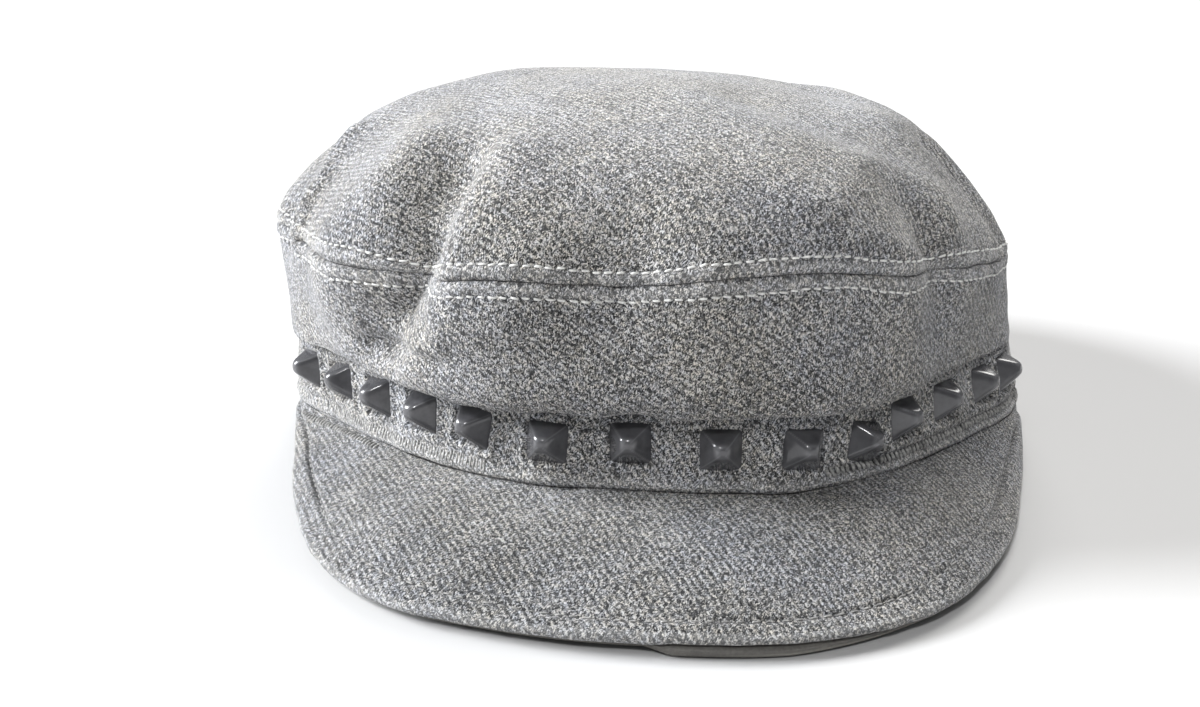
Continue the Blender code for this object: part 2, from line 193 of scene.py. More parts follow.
def band_face(azimuth, z):
    """The band's outer face."""
    share = np.asarray(z, float) / BAND_HEIGHT
    return polar(plan("band_r", azimuth) - plan("lean", azimuth) * share, azimuth, z)


def crown_base(azimuth, level):
    """The crown's outer face before any dent: level 0 at the tuck, 1 at the seam, 2 at the middle of the top."""
    azimuth, level = np.broadcast_arrays(
        np.asarray(azimuth, float), np.asarray(level, float)
    )
    rim = plan("band_r", azimuth) - plan("lean", azimuth)
    low = np.clip(level, 0, 1)
    out = (
        rim
        + section("near", low)
        + section("over", low) * plan("over", azimuth)
        + section("seam", low) * plan("seam_out", azimuth)
    )
    up = (
        section("tuck", low) * TUCK_Z
        + section("roll", low) * plan("roll_z", azimuth)
        + section("seam_up", low) * plan("seam_z", azimuth)
    )
    side = polar(out, azimuth, up)
    share = np.cos(np.clip(level - 1, 0, 1) * math.pi / 2)
    turn = (azimuth + 180) % 360 - 180
    plan_power = smooth_read(DOME, DOME_COLUMNS, "plan_power", turn, period=360)
    rise_power = smooth_read(DOME, DOME_COLUMNS, "rise_power", turn, period=360)
    rise = 1 - (1 - np.minimum(share, 1) ** plan_power) ** (1 / rise_power)
    seam = polar(rim + plan("seam_out", azimuth), azimuth, plan("seam_z", azimuth))
    middle = np.array([TOP_X, TOP_Y, TOP_Z])
    top = middle + (seam - middle) * np.stack([share, share, rise], axis=-1)
    return np.where((level > 1)[..., None], top, side)


def table_z(y):
    """Height, in the cap's own frame, of what the cap stands on."""
    return (y - PLAN[0][1]) * math.tan(math.radians(REST_TILT_DEG))


def peak_face(azimuth, share):
    """The peak's upper face: share 0 at its root under the band, 1 at its edge."""
    azimuth, share = np.broadcast_arrays(
        np.asarray(azimuth, float), np.asarray(share, float)
    )
    edge_r, lift, arch = (
        smooth_read(PEAK, PEAK_COLUMNS, name, azimuth)
        for name in ("edge_r", "lift", "arch")
    )
    root = plan("band_r", azimuth) - PEAK_ROOT_IN
    under = table_z(-edge_r * np.cos(np.radians(azimuth))) + lift
    slope = np.arctan2(-under, edge_r - root)
    edge_z = under + (PEAK_WALL + GAP + FACING_WALL) * np.cos(slope)
    radius = root + (edge_r - root) * share
    z = -GAP + (edge_z + GAP) * share + arch * 4 * share * (1 - share)
    return polar(radius, azimuth, z)


def stud_places():
    """(azimuth, height, turn) of each stud."""
    fine = np.linspace(-120, 120, 2401)
    run = band_face(fine, STUD_Z)
    length = np.concatenate(
        [[0], np.cumsum(np.linalg.norm(np.diff(run, axis=0), axis=1))]
    )
    middle = np.interp(0, fine, length) + STUD_START
    places = []
    for i, (along, up, turn) in enumerate(STUDS):
        at = middle + (i - len(STUDS) / 2 + 0.5) * STUD_SPACING + along
        places.append((float(np.interp(at, length, fine)), STUD_Z + up, turn))
    return places


# =============================================================================
# Folds of the cloth
# =============================================================================
# Each fold follows a line of (azimuth, level) points, bottom first. width: mm to its
# left and to its right, seen from outside. depth: mm outwards.
FOLD_COLUMNS = ("line", "width", "depth")
FOLDS = (
    # slanting valley at the front left, steeper on its inner side
    (((-39, 0.50), (-35, 0.76), (-32, 0.99), (-30.6, 1.16), (-29.4, 1.33)), (9.0, 6.0), -5.2),
    (((-35, 0.76), (-32, 0.99), (-30.8, 1.13)), (3.6, 2.8), -1.7),
    # ridge on its inner side, and the full cloth outside it
    (((-26.5, 0.84), (-25, 1.08), (-24, 1.24), (-22, 1.40)), (4.6, 9.5), 1.6),
    (((-50, 0.78), (-46, 1.05), (-40, 1.42)), (12.0, 9.0), 2.9),
    # small level folds under the seam at the left
    (((-44, 0.60), (-36, 0.62), (-27, 0.64)), (2.6, 2.0), 0.9),
    (((-43, 0.50), (-35, 0.53), (-28, 0.55)), (1.8, 2.4), -0.7),
    # the cloth breaks over an edge at the far left
    (((-60.5, 0.98), (-60.8, 1.10), (-62, 1.26), (-68, 1.42)), (3.2, 2.6), 1.5),
    (((-67, 1.00), (-68, 1.20), (-76, 1.38)), (5.0, 4.0), -1.9),
    (((-78, 1.30), (-90, 1.44), (-104, 1.56)), (11.0, 10.0), -1.6),
    # middle of the front: a dip in the seam and full cloth below it
    (((-6, 0.80), (-4, 1.15)), (9.0, 9.0), -1.7),
    (((-2, 0.74), (3, 0.88)), (8.0, 10.0), 1.1),
    (((-17, 0.86), (-15, 1.10)), (6.0, 7.0), 0.9),
    # pit where the seam is drawn in, front right, and the folds that run to it
    (((41.5, 0.78), (38.5, 1.03), (37, 1.22)), (8.0, 7.0), -3.0),
    (((39.5, 0.96), (37.6, 1.13)), (3.0, 3.4), -1.2),
    (((24, 1.14), (34, 1.10)), (2.6, 3.0), 0.9),
    (((22, 1.22), (34, 1.36)), (6.0, 7.0), 1.3),
    (((46, 0.86), (44, 1.10), (47, 1.26)), (5.0, 5.0), 0.8),
    (((44, 1.40), (30, 1.62)), (10.0, 10.0), -1.5),
    # crease near the right edge
    (((65, 1.06), (60, 1.22), (63, 1.40)), (3.4, 4.4), -1.3),
    (((69, 1.10), (65.5, 1.24), (68, 1.40)), (3.6, 4.6), 0.8),
    (((80, 1.04), (80, 1.24)), (15.0, 15.0), -1.6),
    # full shoulders
    (((66, 1.50), (118, 1.50)), (13.0, 13.0), 1.9),
    (((-172, 1.60), (-148, 1.55)), (18.0, 18.0), 1.6),
    (((86, 1.50), (104, 1.64)), (7.0, 7.0), -1.7),
    # soft folds at the sides and back, where the top's weight slackens the ring
    (((-118, 0.62), (-108, 1.20)), (7.0, 9.0), -1.6),
    (((-150, 0.70), (-158, 1.22)), (8.0, 7.0), -1.5),
    (((172, 0.66), (166, 1.18)), (8.0, 8.0), -1.4),
    (((128, 0.62), (138, 1.24)), (7.0, 9.0), -1.7),
    (((98, 0.70), (92, 1.18)), (7.0, 7.0), -1.2),
)
# Height of the cloth beside the seam: distance from it and mm outwards.
SEAM_PROFILE = (
    (0.00, -0.66),
    (0.22, -0.20),
    (0.60, 0.12),
    (1.70, 0.34),
    (2.50, 0.18),
    (3.00, -0.16),
    (3.50, 0.05),
    (5.00, 0.00),
)


def reading(rows, at):
    """A two-column table, read with straight steps."""
    table = np.array(rows, float)
    return np.interp(at, table[:, 0], table[:, 1])


def lengths(vectors):
    return np.linalg.norm(vectors, axis=-1, keepdims=True)


def wavy(points, length, seed, count=22):
    """Smooth hills about -1 to 1, roughly `length` mm from one to the next."""
    rng = np.random.RandomState(seed)
    way = rng.normal(size=(count, 3))
    way /= np.linalg.norm(way, axis=1, keepdims=True)
    rate = 2 * math.pi / (length * rng.uniform(0.75, 1.5, count))
    start = rng.uniform(0, 2 * math.pi, count)
    total = np.zeros(points.shape[:-1])
    for k in range(count):
        total += np.cos(points @ (way[k] * rate[k]) + start[k])
    return total / math.sqrt(count / 2) / 1.4


def grid_normals(points, wrap):
    """Outward unit normals of a (rows, columns, 3) grid."""
    if wrap:
        across = np.roll(points, -1, axis=1) - np.roll(points, 1, axis=1)
    else:
        across = np.gradient(points, axis=1)
    normal = np.cross(across, np.gradient(points, axis=0))
    return normal / np.maximum(lengths(normal), 1e-9)


def fold_offset(points, normals):
    """How far the folds move the cloth at these points."""
    offset = np.zeros(points.shape[:-1])
    for line, (left, right), depth in FOLDS:
        knots = []
        for (a, low), (b, high) in zip(line[:-1], line[1:]):
            share = np.linspace(0, 1, 5)[:-1]
            knots.append(crown_base(a + (b - a) * share, low + (high - low) * share))
        knots.append(crown_base(np.array([line[-1][0]]), np.array([line[-1][1]])))
        knots = np.concatenate(knots)
        middle = knots.mean(0)
        reach = np.linalg.norm(knots - middle, axis=1).max() + 3 * max(left, right)
        near = np.linalg.norm(points - middle, axis=-1) < reach
        here, face = points[near], normals[near]
        best = np.full(len(here), np.inf)
        lean = np.zeros(len(here))
        for start, end in zip(knots[:-1], knots[1:]):
            along = end - start
            share = np.clip(((here - start) @ along) / (along @ along), 0, 1)
            gap = here - start - share[:, None] * along
            away = np.linalg.norm(gap, axis=1)
            side = np.einsum("ij,ij->i", np.cross(along, gap), face)
            side /= np.linalg.norm(along) * np.maximum(away, 1e-6)
            closer = away < best
            best = np.where(closer, away, best)
            lean = np.where(closer, side, lean)
        width = (left + right) / 2 + (left - right) / 2 * np.clip(lean, -1, 1)
        offset[near] += depth * np.exp(-((best / width) ** 2))
    return offset


# =============================================================================
# Mesh making
# =============================================================================
def to_world(points):
    """Cap's own frame in mm to the row frame in metres."""
    tilt = math.radians(-REST_TILT_DEG)
    c, s = math.cos(tilt), math.sin(tilt)
    x, y, z = points[..., 0], points[..., 1], points[..., 2]
    return (np.stack([x, y * c - z * s, y * s + z * c], axis=-1) + REST_SHIFT_MM) * MM


def piece(name, points, faces, surface, replaces=(), uv=None, attributes=()):
    """A mesh object from mm points and lists of faces (arrays of 3 or 4 corners). uv: one
    array of corner values for each array of faces. attributes: (name, value for each point)."""
    mesh = bpy.data.meshes.new(name)
    world = to_world(np.asarray(points, float).reshape(-1, 3))
    faces = [np.asarray(f, int) for f in faces]
    corners = np.concatenate([f.ravel() for f in faces])
    sizes = np.concatenate([np.full(len(f), f.shape[1]) for f in faces])
    mesh.vertices.add(len(world))
    mesh.vertices.foreach_set("co", world.astype(np.float32).ravel())
    mesh.loops.add(len(corners))
    mesh.loops.foreach_set("vertex_index", corners.astype(np.int32))
    mesh.polygons.add(len(sizes))
    starts = np.concatenate([[0], np.cumsum(sizes)[:-1]])
    mesh.polygons.foreach_set("loop_start", starts.astype(np.int32))
    mesh.update(calc_edges=True)
    mesh.validate()
    if uv is not None:
        layer = mesh.uv_layers.new(name="cloth_mm")
        flat = np.concatenate([np.asarray(u, float).reshape(-1, 2) for u in uv])
        layer.data.foreach_set("uv", flat.astype(np.float32).ravel())
    for label, values in attributes:
        made = mesh.attributes.new(label, "FLOAT", "POINT")
        made.data.foreach_set("value", np.asarray(values, np.float32).ravel())
    mesh.shade_smooth()
    mesh.materials.append(surface)
    made = bpy.data.objects.new(name, mesh)
    bpy.context.scene.collection.objects.link(made)
    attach(made, "root")
    if replaces:
        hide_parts(*replaces)
    return made


def lattice(rows, columns, wrap_columns, wrap_rows=False, first=0):
    """Corner numbers of a grid's quads, and (row, column) of each corner before wrapping."""
    r = np.arange(rows if wrap_rows else rows - 1)[:, None]
    c = np.arange(columns if wrap_columns else columns - 1)[None, :]
    r, c = np.broadcast_arrays(r, c)
    row = np.stack([r, r, r + 1, r + 1], axis=-1).reshape(-1, 4)
    column = np.stack([c, c + 1, c + 1, c], axis=-1).reshape(-1, 4)
    return first + (row % rows) * columns + column % columns, row, column


def turned(u, v, degrees):
    """Cloth coordinates turned so that the first runs along the twill's ribs."""
    a = math.radians(degrees)
    return np.stack(
        [u * math.cos(a) + v * math.sin(a), -u * math.sin(a) + v * math.cos(a)], -1
    )


def area_of(made):
    return sum(p.area for p in made.data.polygons)


# =============================================================================
# Materials
# =============================================================================
def nodes_of(name):
    made = bpy.data.materials.new(name)
    made.use_nodes = True
    tree = made.node_tree
    shader = tree.nodes["Principled BSDF"]
    return made, tree, shader


def add(tree, kind, **settings):
    node = tree.nodes.new(kind)
    for key, value in settings.items():
        setattr(node, key, value)
    return node


def math_node(tree, operation, a, b=None, clamp=False):
    node = add(tree, "ShaderNodeMath", operation=operation, use_clamp=clamp)
    for socket, value in zip(node.inputs, (a, b)):
        if value is None:
            continue
        if isinstance(value, (int, float)):
            socket.default_value = value
        else:
            tree.links.new(value, socket)
    return node.outputs[0]


def vector_node(tree, operation, a, b=None):
    node = add(tree, "ShaderNodeVectorMath", operation=operation)
    for socket, value in zip(node.inputs, (a, b)):
        if value is None:
            continue
        if isinstance(value, tuple):
            socket.default_value = value
        else:
            tree.links.new(value, socket)
    return node.outputs[0]


def ramp(tree, source, stops):
    node = add(tree, "ShaderNodeValToRGB")
    node.color_ramp.elements[0].position = stops[0][0]
    node.color_ramp.elements[1].position = stops[-1][0]
    for position, _ in stops[1:-1]:
        node.color_ramp.elements.new(position)
    for element, (_, colour) in zip(node.color_ramp.elements, stops):
        element.color = (*colour, 1)
    tree.links.new(source, node.inputs[0])
    return node.outputs[0]


def mixed(tree, blend, factor, a, b):
    node = add(tree, "ShaderNodeMix", data_type="RGBA", blend_type=blend)
    for socket, value in ((node.inputs[0], factor), (node.inputs[6], a), (node.inputs[7], b)):
        if isinstance(value, (int, float)):
            socket.default_value = value
        elif isinstance(value, tuple):
            socket.default_value = (*value, 1)
        else:
            tree.links.new(value, socket)
    return node.outputs[2]


def noise(tree, vector, scale, detail=2.0, rough=0.5, distortion=0.0, dims="3D"):
    node = add(tree, "ShaderNodeTexNoise", noise_dimensions=dims)
    node.inputs["Scale"].default_value = scale
    node.inputs["Detail"].default_value = detail
    node.inputs["Roughness"].default_value = rough
    node.inputs["Distortion"].default_value = distortion
    tree.links.new(vector, node.inputs["Vector"])
    return node


def cells(tree, vector, feature="F1", jitter=1.0):
    node = add(tree, "ShaderNodeTexVoronoi", voronoi_dimensions="2D", feature=feature)
    node.inputs["Scale"].default_value = 1.0
    node.inputs["Randomness"].default_value = jitter
    tree.links.new(vector, node.inputs["Vector"])
    return node


TWILL_PITCH = 1.35  # mm from rib to rib


def marl_twill(name, tone=1.0, cool=0.0, rib=1.0):
    """Salt-and-pepper wool twill. Reads the cloth_mm map: first along the ribs, second across."""
    made, tree, shader = nodes_of(name)
    link = tree.links.new
    cloth = add(tree, "ShaderNodeUVMap", uv_map="cloth_mm").outputs[0]
    # Yarns wander a little.
    wander = noise(tree, cloth, 0.16, 3.0, 0.6)
    push = vector_node(tree, "SUBTRACT", wander.outputs["Color"], (0.5, 0.5, 0.5))
    push = vector_node(tree, "MULTIPLY", push, (1.1, 0.9, 0.0))
    place = vector_node(tree, "ADD", cloth, push)
    # Ribs.
    parts = add(tree, "ShaderNodeSeparateXYZ")
    link(place, parts.inputs[0])
    phase = math_node(tree, "MULTIPLY", parts.outputs[1], 2 * math.pi / TWILL_PITCH)
    wave = math_node(tree, "COSINE", phase)
    ribs = math_node(tree, "MULTIPLY_ADD", wave, 0.5)
    ribs.node.inputs[2].default_value = 0.5
    # Floats of single yarns, each of its own grey, and finer fibres over them.
    lean = add(tree, "ShaderNodeCombineXYZ")
    link(parts.outputs[0], lean.inputs[0])
    slid = math_node(tree, "MULTIPLY_ADD", parts.outputs[0], 0.30)
    link(parts.outputs[1], slid.node.inputs[2])
    link(slid, lean.inputs[1])
    floats = cells(
        tree, vector_node(tree, "MULTIPLY", lean.outputs[0], (1 / 0.25, 1 / 0.33, 1.0))
    )
    tone_a = add(tree, "ShaderNodeSeparateColor")
    link(floats.outputs["Color"], tone_a.inputs[0])
    flecks = cells(
        tree, vector_node(tree, "MULTIPLY", lean.outputs[0], (1 / 0.17, 1 / 0.23, 1.0))
    )
    tone_b = add(tree, "ShaderNodeSeparateColor")
    link(flecks.outputs["Color"], tone_b.inputs[0])
    fibre = noise(
        tree, vector_node(tree, "MULTIPLY", place, (2.2, 5.5, 1.0)), 1.0, 3.0, 0.65, 0.4
    )
    value = math_node(tree, "MULTIPLY", tone_a.outputs[0], 0.42)
    value = math_node(
        tree, "ADD", value, math_node(tree, "MULTIPLY", tone_b.outputs[0], 0.34)
    )
    value = math_node(
        tree, "ADD", value, math_node(tree, "MULTIPLY", fibre.outputs[0], 0.26)
    )
    value = math_node(
        tree,
        "ADD",
        value,
        math_node(
            tree, "MULTIPLY", math_node(tree, "SUBTRACT", ribs, 0.5), 0.20 * rib
        ),
    )
    blotch = noise(tree, cloth, 0.055, 3.0, 0.55)
    value = math_node(
        tree,
        "ADD",
        value,
        math_node(
            tree,
            "MULTIPLY",
            math_node(tree, "SUBTRACT", blotch.outputs[0], 0.5),
            0.16,
        ),
    )

    def grey(level, tint=0.0):
        level *= tone
        shift = cool + tint
        return (level * (1 - shift), level * (1 - 0.15 * shift), level * (1 + shift))

    colour = ramp(
        tree,
        value,
        (
            (0.22, grey(0.014, 0.02)),
            (0.37, grey(0.058, 0.02)),
            (0.50, grey(0.195, 0.0)),
            (0.63, grey(0.430, -0.01)),
            (0.75, grey(0.860, -0.02)),
        ),
    )
    # Warmer and cooler yarns side by side.
    hue = noise(tree, cloth, 0.8, 1.0, 0.5)
    warm = ramp(
        tree,
        hue.outputs[0],
        ((0.34, (0.96, 0.985, 1.04)), (0.66, (1.035, 1.005, 0.95))),
    )
    colour = mixed(tree, "MULTIPLY", 1.0, colour, warm)
    dye = noise(tree, cloth, 0.034, 3.0, 0.6)
    warm = ramp(
        tree,
        dye.outputs[0],
        ((0.38, (0.975, 0.99, 1.035)), (0.60, (1.02, 1.003, 0.965))),
    )
    colour = mixed(tree, "MULTIPLY", 1.0, colour, warm)
    # Dark specks and pale slubs.
    specks = cells(tree, vector_node(tree, "MULTIPLY", place, (0.26, 0.30, 1.0)))
    speck_pick = add(tree, "ShaderNodeSeparateColor")
    link(specks.outputs["Color"], speck_pick.inputs[0])
    close = math_node(tree, "LESS_THAN", specks.outputs["Distance"], 0.13)
    dark = math_node(
        tree, "MULTIPLY", close, math_node(tree, "LESS_THAN", speck_pick.outputs[0], 0.36)
    )
    colour = mixed(
        tree, "MIX", math_node(tree, "MULTIPLY", dark, 0.8), colour, (0.018, 0.018, 0.02)
    )
    slubs = cells(tree, vector_node(tree, "MULTIPLY", place, (0.17, 0.46, 1.0)))
    slub_pick = add(tree, "ShaderNodeSeparateColor")
    link(slubs.outputs["Color"], slub_pick.inputs[0])
    close = math_node(tree, "LESS_THAN", slubs.outputs["Distance"], 0.085)
    pale = math_node(
        tree, "MULTIPLY", close, math_node(tree, "LESS_THAN", slub_pick.outputs[1], 0.25)
    )
    colour = mixed(
        tree, "MIX", math_node(tree, "MULTIPLY", pale, 0.55), colour, (0.62, 0.62, 0.60)
    )
    # Painted shade: where the deep attribute is set, under the twisted cord and in the peak's groove, the colour
    # goes near-black.
    deep = add(tree, "ShaderNodeAttribute", attribute_name="deep")
    colour = mixed(
        tree, "MIX", math_node(tree, "MULTIPLY", deep.outputs["Fac"], 0.8), colour, (0.022, 0.022, 0.023)
    )
    # Paler along raised edges and beside the seam: partly wear, partly painted highlight.
    wear_and_highlight = add(tree, "ShaderNodeAttribute", attribute_name="wear_and_highlight")
    colour = mixed(
        tree,
        "SCREEN",
        math_node(tree, "MULTIPLY", wear_and_highlight.outputs["Fac"], 0.10),
        colour,
        (0.75, 0.75, 0.74),
    )
    link(colour, shader.inputs["Base Color"])
    rough = math_node(tree, "MULTIPLY_ADD", fibre.outputs[0], 0.12)
    rough.node.inputs[2].default_value = 0.84
    link(rough, shader.inputs["Roughness"])
    shader.inputs["Specular IOR Level"].default_value = 0.22
    shader.inputs["Sheen Weight"].default_value = 0.22
    shader.inputs["Sheen Roughness"].default_value = 0.55
    shader.inputs["Sheen Tint"].default_value = (0.92, 0.93, 0.95, 1)
    # Relief: ribs, the round backs of the floats, loose fibres.
    height = math_node(tree, "MULTIPLY", ribs, 0.50 * rib)
    back = math_node(tree, "SUBTRACT", 1.0, floats.outputs["Distance"])
    height = math_node(tree, "ADD", height, math_node(tree, "MULTIPLY", back, 0.26))
    height = math_node(
        tree, "ADD", height, math_node(tree, "MULTIPLY", fibre.outputs[0], 0.55)
    )
    bump = add(tree, "ShaderNodeBump")
    bump.inputs["Strength"].default_value = 0.85
    bump.inputs["Distance"].default_value = 0.00024
    link(height, bump.inputs["Height"])
    link(bump.outputs[0], shader.inputs["Normal"])
    return made


def thread(name, low, high):
    """Spun sewing thread."""
    made, tree, shader = nodes_of(name)
    spot = add(tree, "ShaderNodeTexCoord").outputs["Object"]
    tone = noise(tree, spot, 1300.0, 2.0, 0.6)
    colour = ramp(tree, tone.outputs[0], ((0.3, low), (0.7, high)))
    tree.links.new(colour, shader.inputs["Base Color"])
    twist = noise(tree, spot, 3200.0, 1.0, 0.5)
    bump = add(tree, "ShaderNodeBump")
    bump.inputs["Strength"].default_value = 0.5
    bump.inputs["Distance"].default_value = 0.00008
    tree.links.new(twist.outputs[0], bump.inputs["Height"])
    tree.links.new(bump.outputs[0], shader.inputs["Normal"])
    shader.inputs["Roughness"].default_value = 0.7
    shader.inputs["Sheen Weight"].default_value = 0.2
    return made


def facing_cloth():
    """Smooth close-woven under layer."""
    made, tree, shader = nodes_of("facing_dark")
    link = tree.links.new
    spot = add(tree, "ShaderNodeTexCoord").outputs["Object"]
    grain = noise(tree, spot, 1500.0, 3.0, 0.6)
    cloud = noise(tree, spot, 45.0, 3.0, 0.55)
    value = math_node(
        tree,
        "ADD",
        math_node(tree, "MULTIPLY", grain.outputs[0], 0.45),
        math_node(tree, "MULTIPLY", cloud.outputs[0], 0.55),
    )
    colour = ramp(
        tree,
        value,
        ((0.34, (0.070, 0.067, 0.060)), (0.5, (0.110, 0.104, 0.094)), (0.66, (0.155, 0.148, 0.134))),
    )
    # Painted highlight: a paler line along the lower lip.
    lip = add(tree, "ShaderNodeAttribute", attribute_name="wear_and_highlight")
    colour = mixed(
        tree,
        "MIX",
        math_node(tree, "MULTIPLY", lip.outputs["Fac"], 0.7),
        colour,
        (0.30, 0.29, 0.26),
    )
    link(colour, shader.inputs["Base Color"])
    rough = math_node(tree, "MULTIPLY_ADD", cloud.outputs[0], 0.2)
    rough.node.inputs[2].default_value = 0.42
    link(rough, shader.inputs["Roughness"])
    bump = add(tree, "ShaderNodeBump")
    bump.inputs["Strength"].default_value = 0.5
    bump.inputs["Distance"].default_value = 0.00006
    link(grain.outputs[0], bump.inputs["Height"])
    link(bump.outputs[0], shader.inputs["Normal"])
    return made


def stud_enamel():
    """Dark grey glossy coat over metal, with painted highlights along the ridges and round the blunt top."""
    made, tree, shader = nodes_of("stud_dark_grey")
    link = tree.links.new
    spot = add(tree, "ShaderNodeTexCoord").outputs["Object"]
    cloud = noise(tree, spot, 240.0, 3.0, 0.6)
    colour = ramp(
        tree,
        cloud.outputs[0],
        ((0.35, (0.064, 0.064, 0.069)), (0.65, (0.092, 0.092, 0.099))),
    )
    # Painted highlight: the ridges and the ring round the top go paler.
    ridge = add(tree, "ShaderNodeAttribute", attribute_name="wear_and_highlight")
    colour = mixed(
        tree,
        "MIX",
        math_node(tree, "MULTIPLY", ridge.outputs["Fac"], 0.55),
        colour,
        (0.24, 0.24, 0.25),
    )
    link(colour, shader.inputs["Base Color"])
    fine = noise(tree, spot, 1600.0, 2.0, 0.5)
    rough = math_node(tree, "MULTIPLY_ADD", cloud.outputs[0], 0.18)
    rough.node.inputs[2].default_value = 0.12
    link(rough, shader.inputs["Roughness"])
    shader.inputs["Metallic"].default_value = 0.1
    shader.inputs["Specular IOR Level"].default_value = 0.42
    shader.inputs["Coat Weight"].default_value = 0.30
    shader.inputs["Coat Roughness"].default_value = 0.05
    bump = add(tree, "ShaderNodeBump")
    bump.inputs["Strength"].default_value = 0.35
    bump.inputs["Distance"].default_value = 0.00005
    link(fine.outputs[0], bump.inputs["Height"])
    link(bump.outputs[0], shader.inputs["Normal"])
    return made


# One cloth on crown, band and peak. The band's copy is painted lighter and the peak's darker, both a little cooler:
# painted light and shade for how the light falls on them.
CROWN_CLOTH = marl_twill("crown_twill", tone=0.67, rib=0.5)
BAND_CLOTH = marl_twill("band_twill", tone=0.76, cool=0.012, rib=0.7)
PEAK_CLOTH = marl_twill("peak_twill", tone=0.58, cool=0.006, rib=0.72)
PALE_THREAD = thread("pale_thread", (0.46, 0.46, 0.445), (0.84, 0.84, 0.82))
GREY_THREAD = thread("grey_thread", (0.12, 0.12, 0.117), (0.46, 0.455, 0.44))
FACING = facing_cloth()
STUD = stud_enamel()

# =============================================================================
# Crown
# =============================================================================
AROUND = 1000
TURN = -180 + 360 * np.arange(AROUND) / AROUND  # the grid closes at the back
NEAR = np.array(
    [0.04, 0.18, 0.34, 0.55, 0.80, 1.10, 1.45, 1.80, 2.20, 2.55, 2.80, 3.05, 3.30, 3.65, 4.1, 4.7, 5.4, 6.2]
)


def levels_from_seam(end, more, ease):
    """Levels (rows, columns) at fixed distances from the seam, and those distances; end is the level where the piece ends."""
    sample = np.linspace(1.0, end, 220)
    run = crown_base(TURN[None, :], sample[:, None])
    away = np.concatenate(
        [np.zeros((1, AROUND)), np.cumsum(np.linalg.norm(np.diff(run, axis=0), axis=2), axis=0)]
    )
    rest = np.linspace(0, 1, more + 1)[1:] ** ease
    rows = np.concatenate(
        [
            np.repeat(NEAR[:, None], AROUND, axis=1),
            NEAR[-1] + (away[-1] - NEAR[-1])[None, :] * rest[:, None],
        ]
    )
    level = np.empty_like(rows)
    for j in range(AROUND):
        level[:, j] = np.interp(rows[:, j], away[:, j], sample)
    return level, rows


def seam_normal():
    """One direction for each column, halfway between the two cloths that meet at the seam."""
    below = crown_base(TURN, 0.97)
    above = crown_base(TURN, 1.08)
    across = np.roll(above, -1, axis=0) - np.roll(above, 1, axis=0)
    normal = np.cross(across, above - below)
    return normal / lengths(normal)


SEAM_NORMAL = seam_normal()
SEAM_LINE = crown_base(TURN, 1.0)
PUCKER_A = wavy(SEAM_LINE, 11.0, 3)
PUCKER_B = wavy(SEAM_LINE, 5.5, 4)


def relief(points, distance, side):
    """Small relief of the crown's cloth. distance: mm from the seam. side: 0 for the ring, 1 for the top."""
    lift = reading(SEAM_PROFILE, distance)
    # Puckers that the seam and its stitches draw in.
    near = np.exp(-((distance / 7.0) ** 2))
    tight = np.exp(-((distance / 3.6) ** 2))
    lift = lift + near * (0.30 * np.roll(PUCKER_A, 7 * side)[None, :])
    lift = lift + tight * (0.16 * np.roll(PUCKER_B, 11 * side)[None, :])
    lift = lift + 0.50 * wavy(points, 46.0, 11) + 0.20 * wavy(points, 21.0, 12)
    lift = lift + 0.07 * wavy(points, 9.0, 13)
    return lift


def crown_outer(end, more, ease, side):
    """Outer face of the crown's top or side as a grid, rows going up, with its normals, its distances from the seam and its levels."""
    level, distance = levels_from_seam(end, more, ease)
    if side == 0:  # rows go up
        level, distance = level[::-1], distance[::-1]
    base = crown_base(TURN[None, :], level)
    normal = grid_normals(base, True)
    fade = np.clip((level - 0.3) / 0.25, 0, 1)
    folded = base + normal * (fold_offset(base, normal) * fade)[..., None]
    # The main folds bend the seam line as well as standing out.
    normal = grid_normals(folded, True)
    share = np.clip((distance - 0.6) / 3.0, 0, 1)[..., None]
    share = share * share * (3 - 2 * share)
    normal = SEAM_NORMAL[None] * (1 - share) + normal * share
    normal /= lengths(normal)
    lift = relief(folded, distance, side)
    if side == 0:
        # Cloth drawn into the band: small gathers that die out upwards.
        low = np.clip(1 - (level - 0.06) / 0.42, 0, 1) ** 1.5
        tuck = wavy(np.broadcast_to(SEAM_LINE, base.shape), 12.0, 21) * 0.55
        tuck = tuck + wavy(np.broadcast_to(SEAM_LINE, base.shape), 6.5, 22) * 0.22
        lift = lift * np.clip((level - 0.02) / 0.2, 0, 1) + tuck * low * np.clip(
            (level - 0.02) / 0.1, 0, 1
        )
    face = folded + normal * lift[..., None]
    return face, normal, distance, level


# Paler strip on the ridge beside the seam: partly wear, partly painted highlight.
def seam_wear_and_highlight(distance):
    return np.exp(-(((distance - 1.6) / 1.0) ** 2))


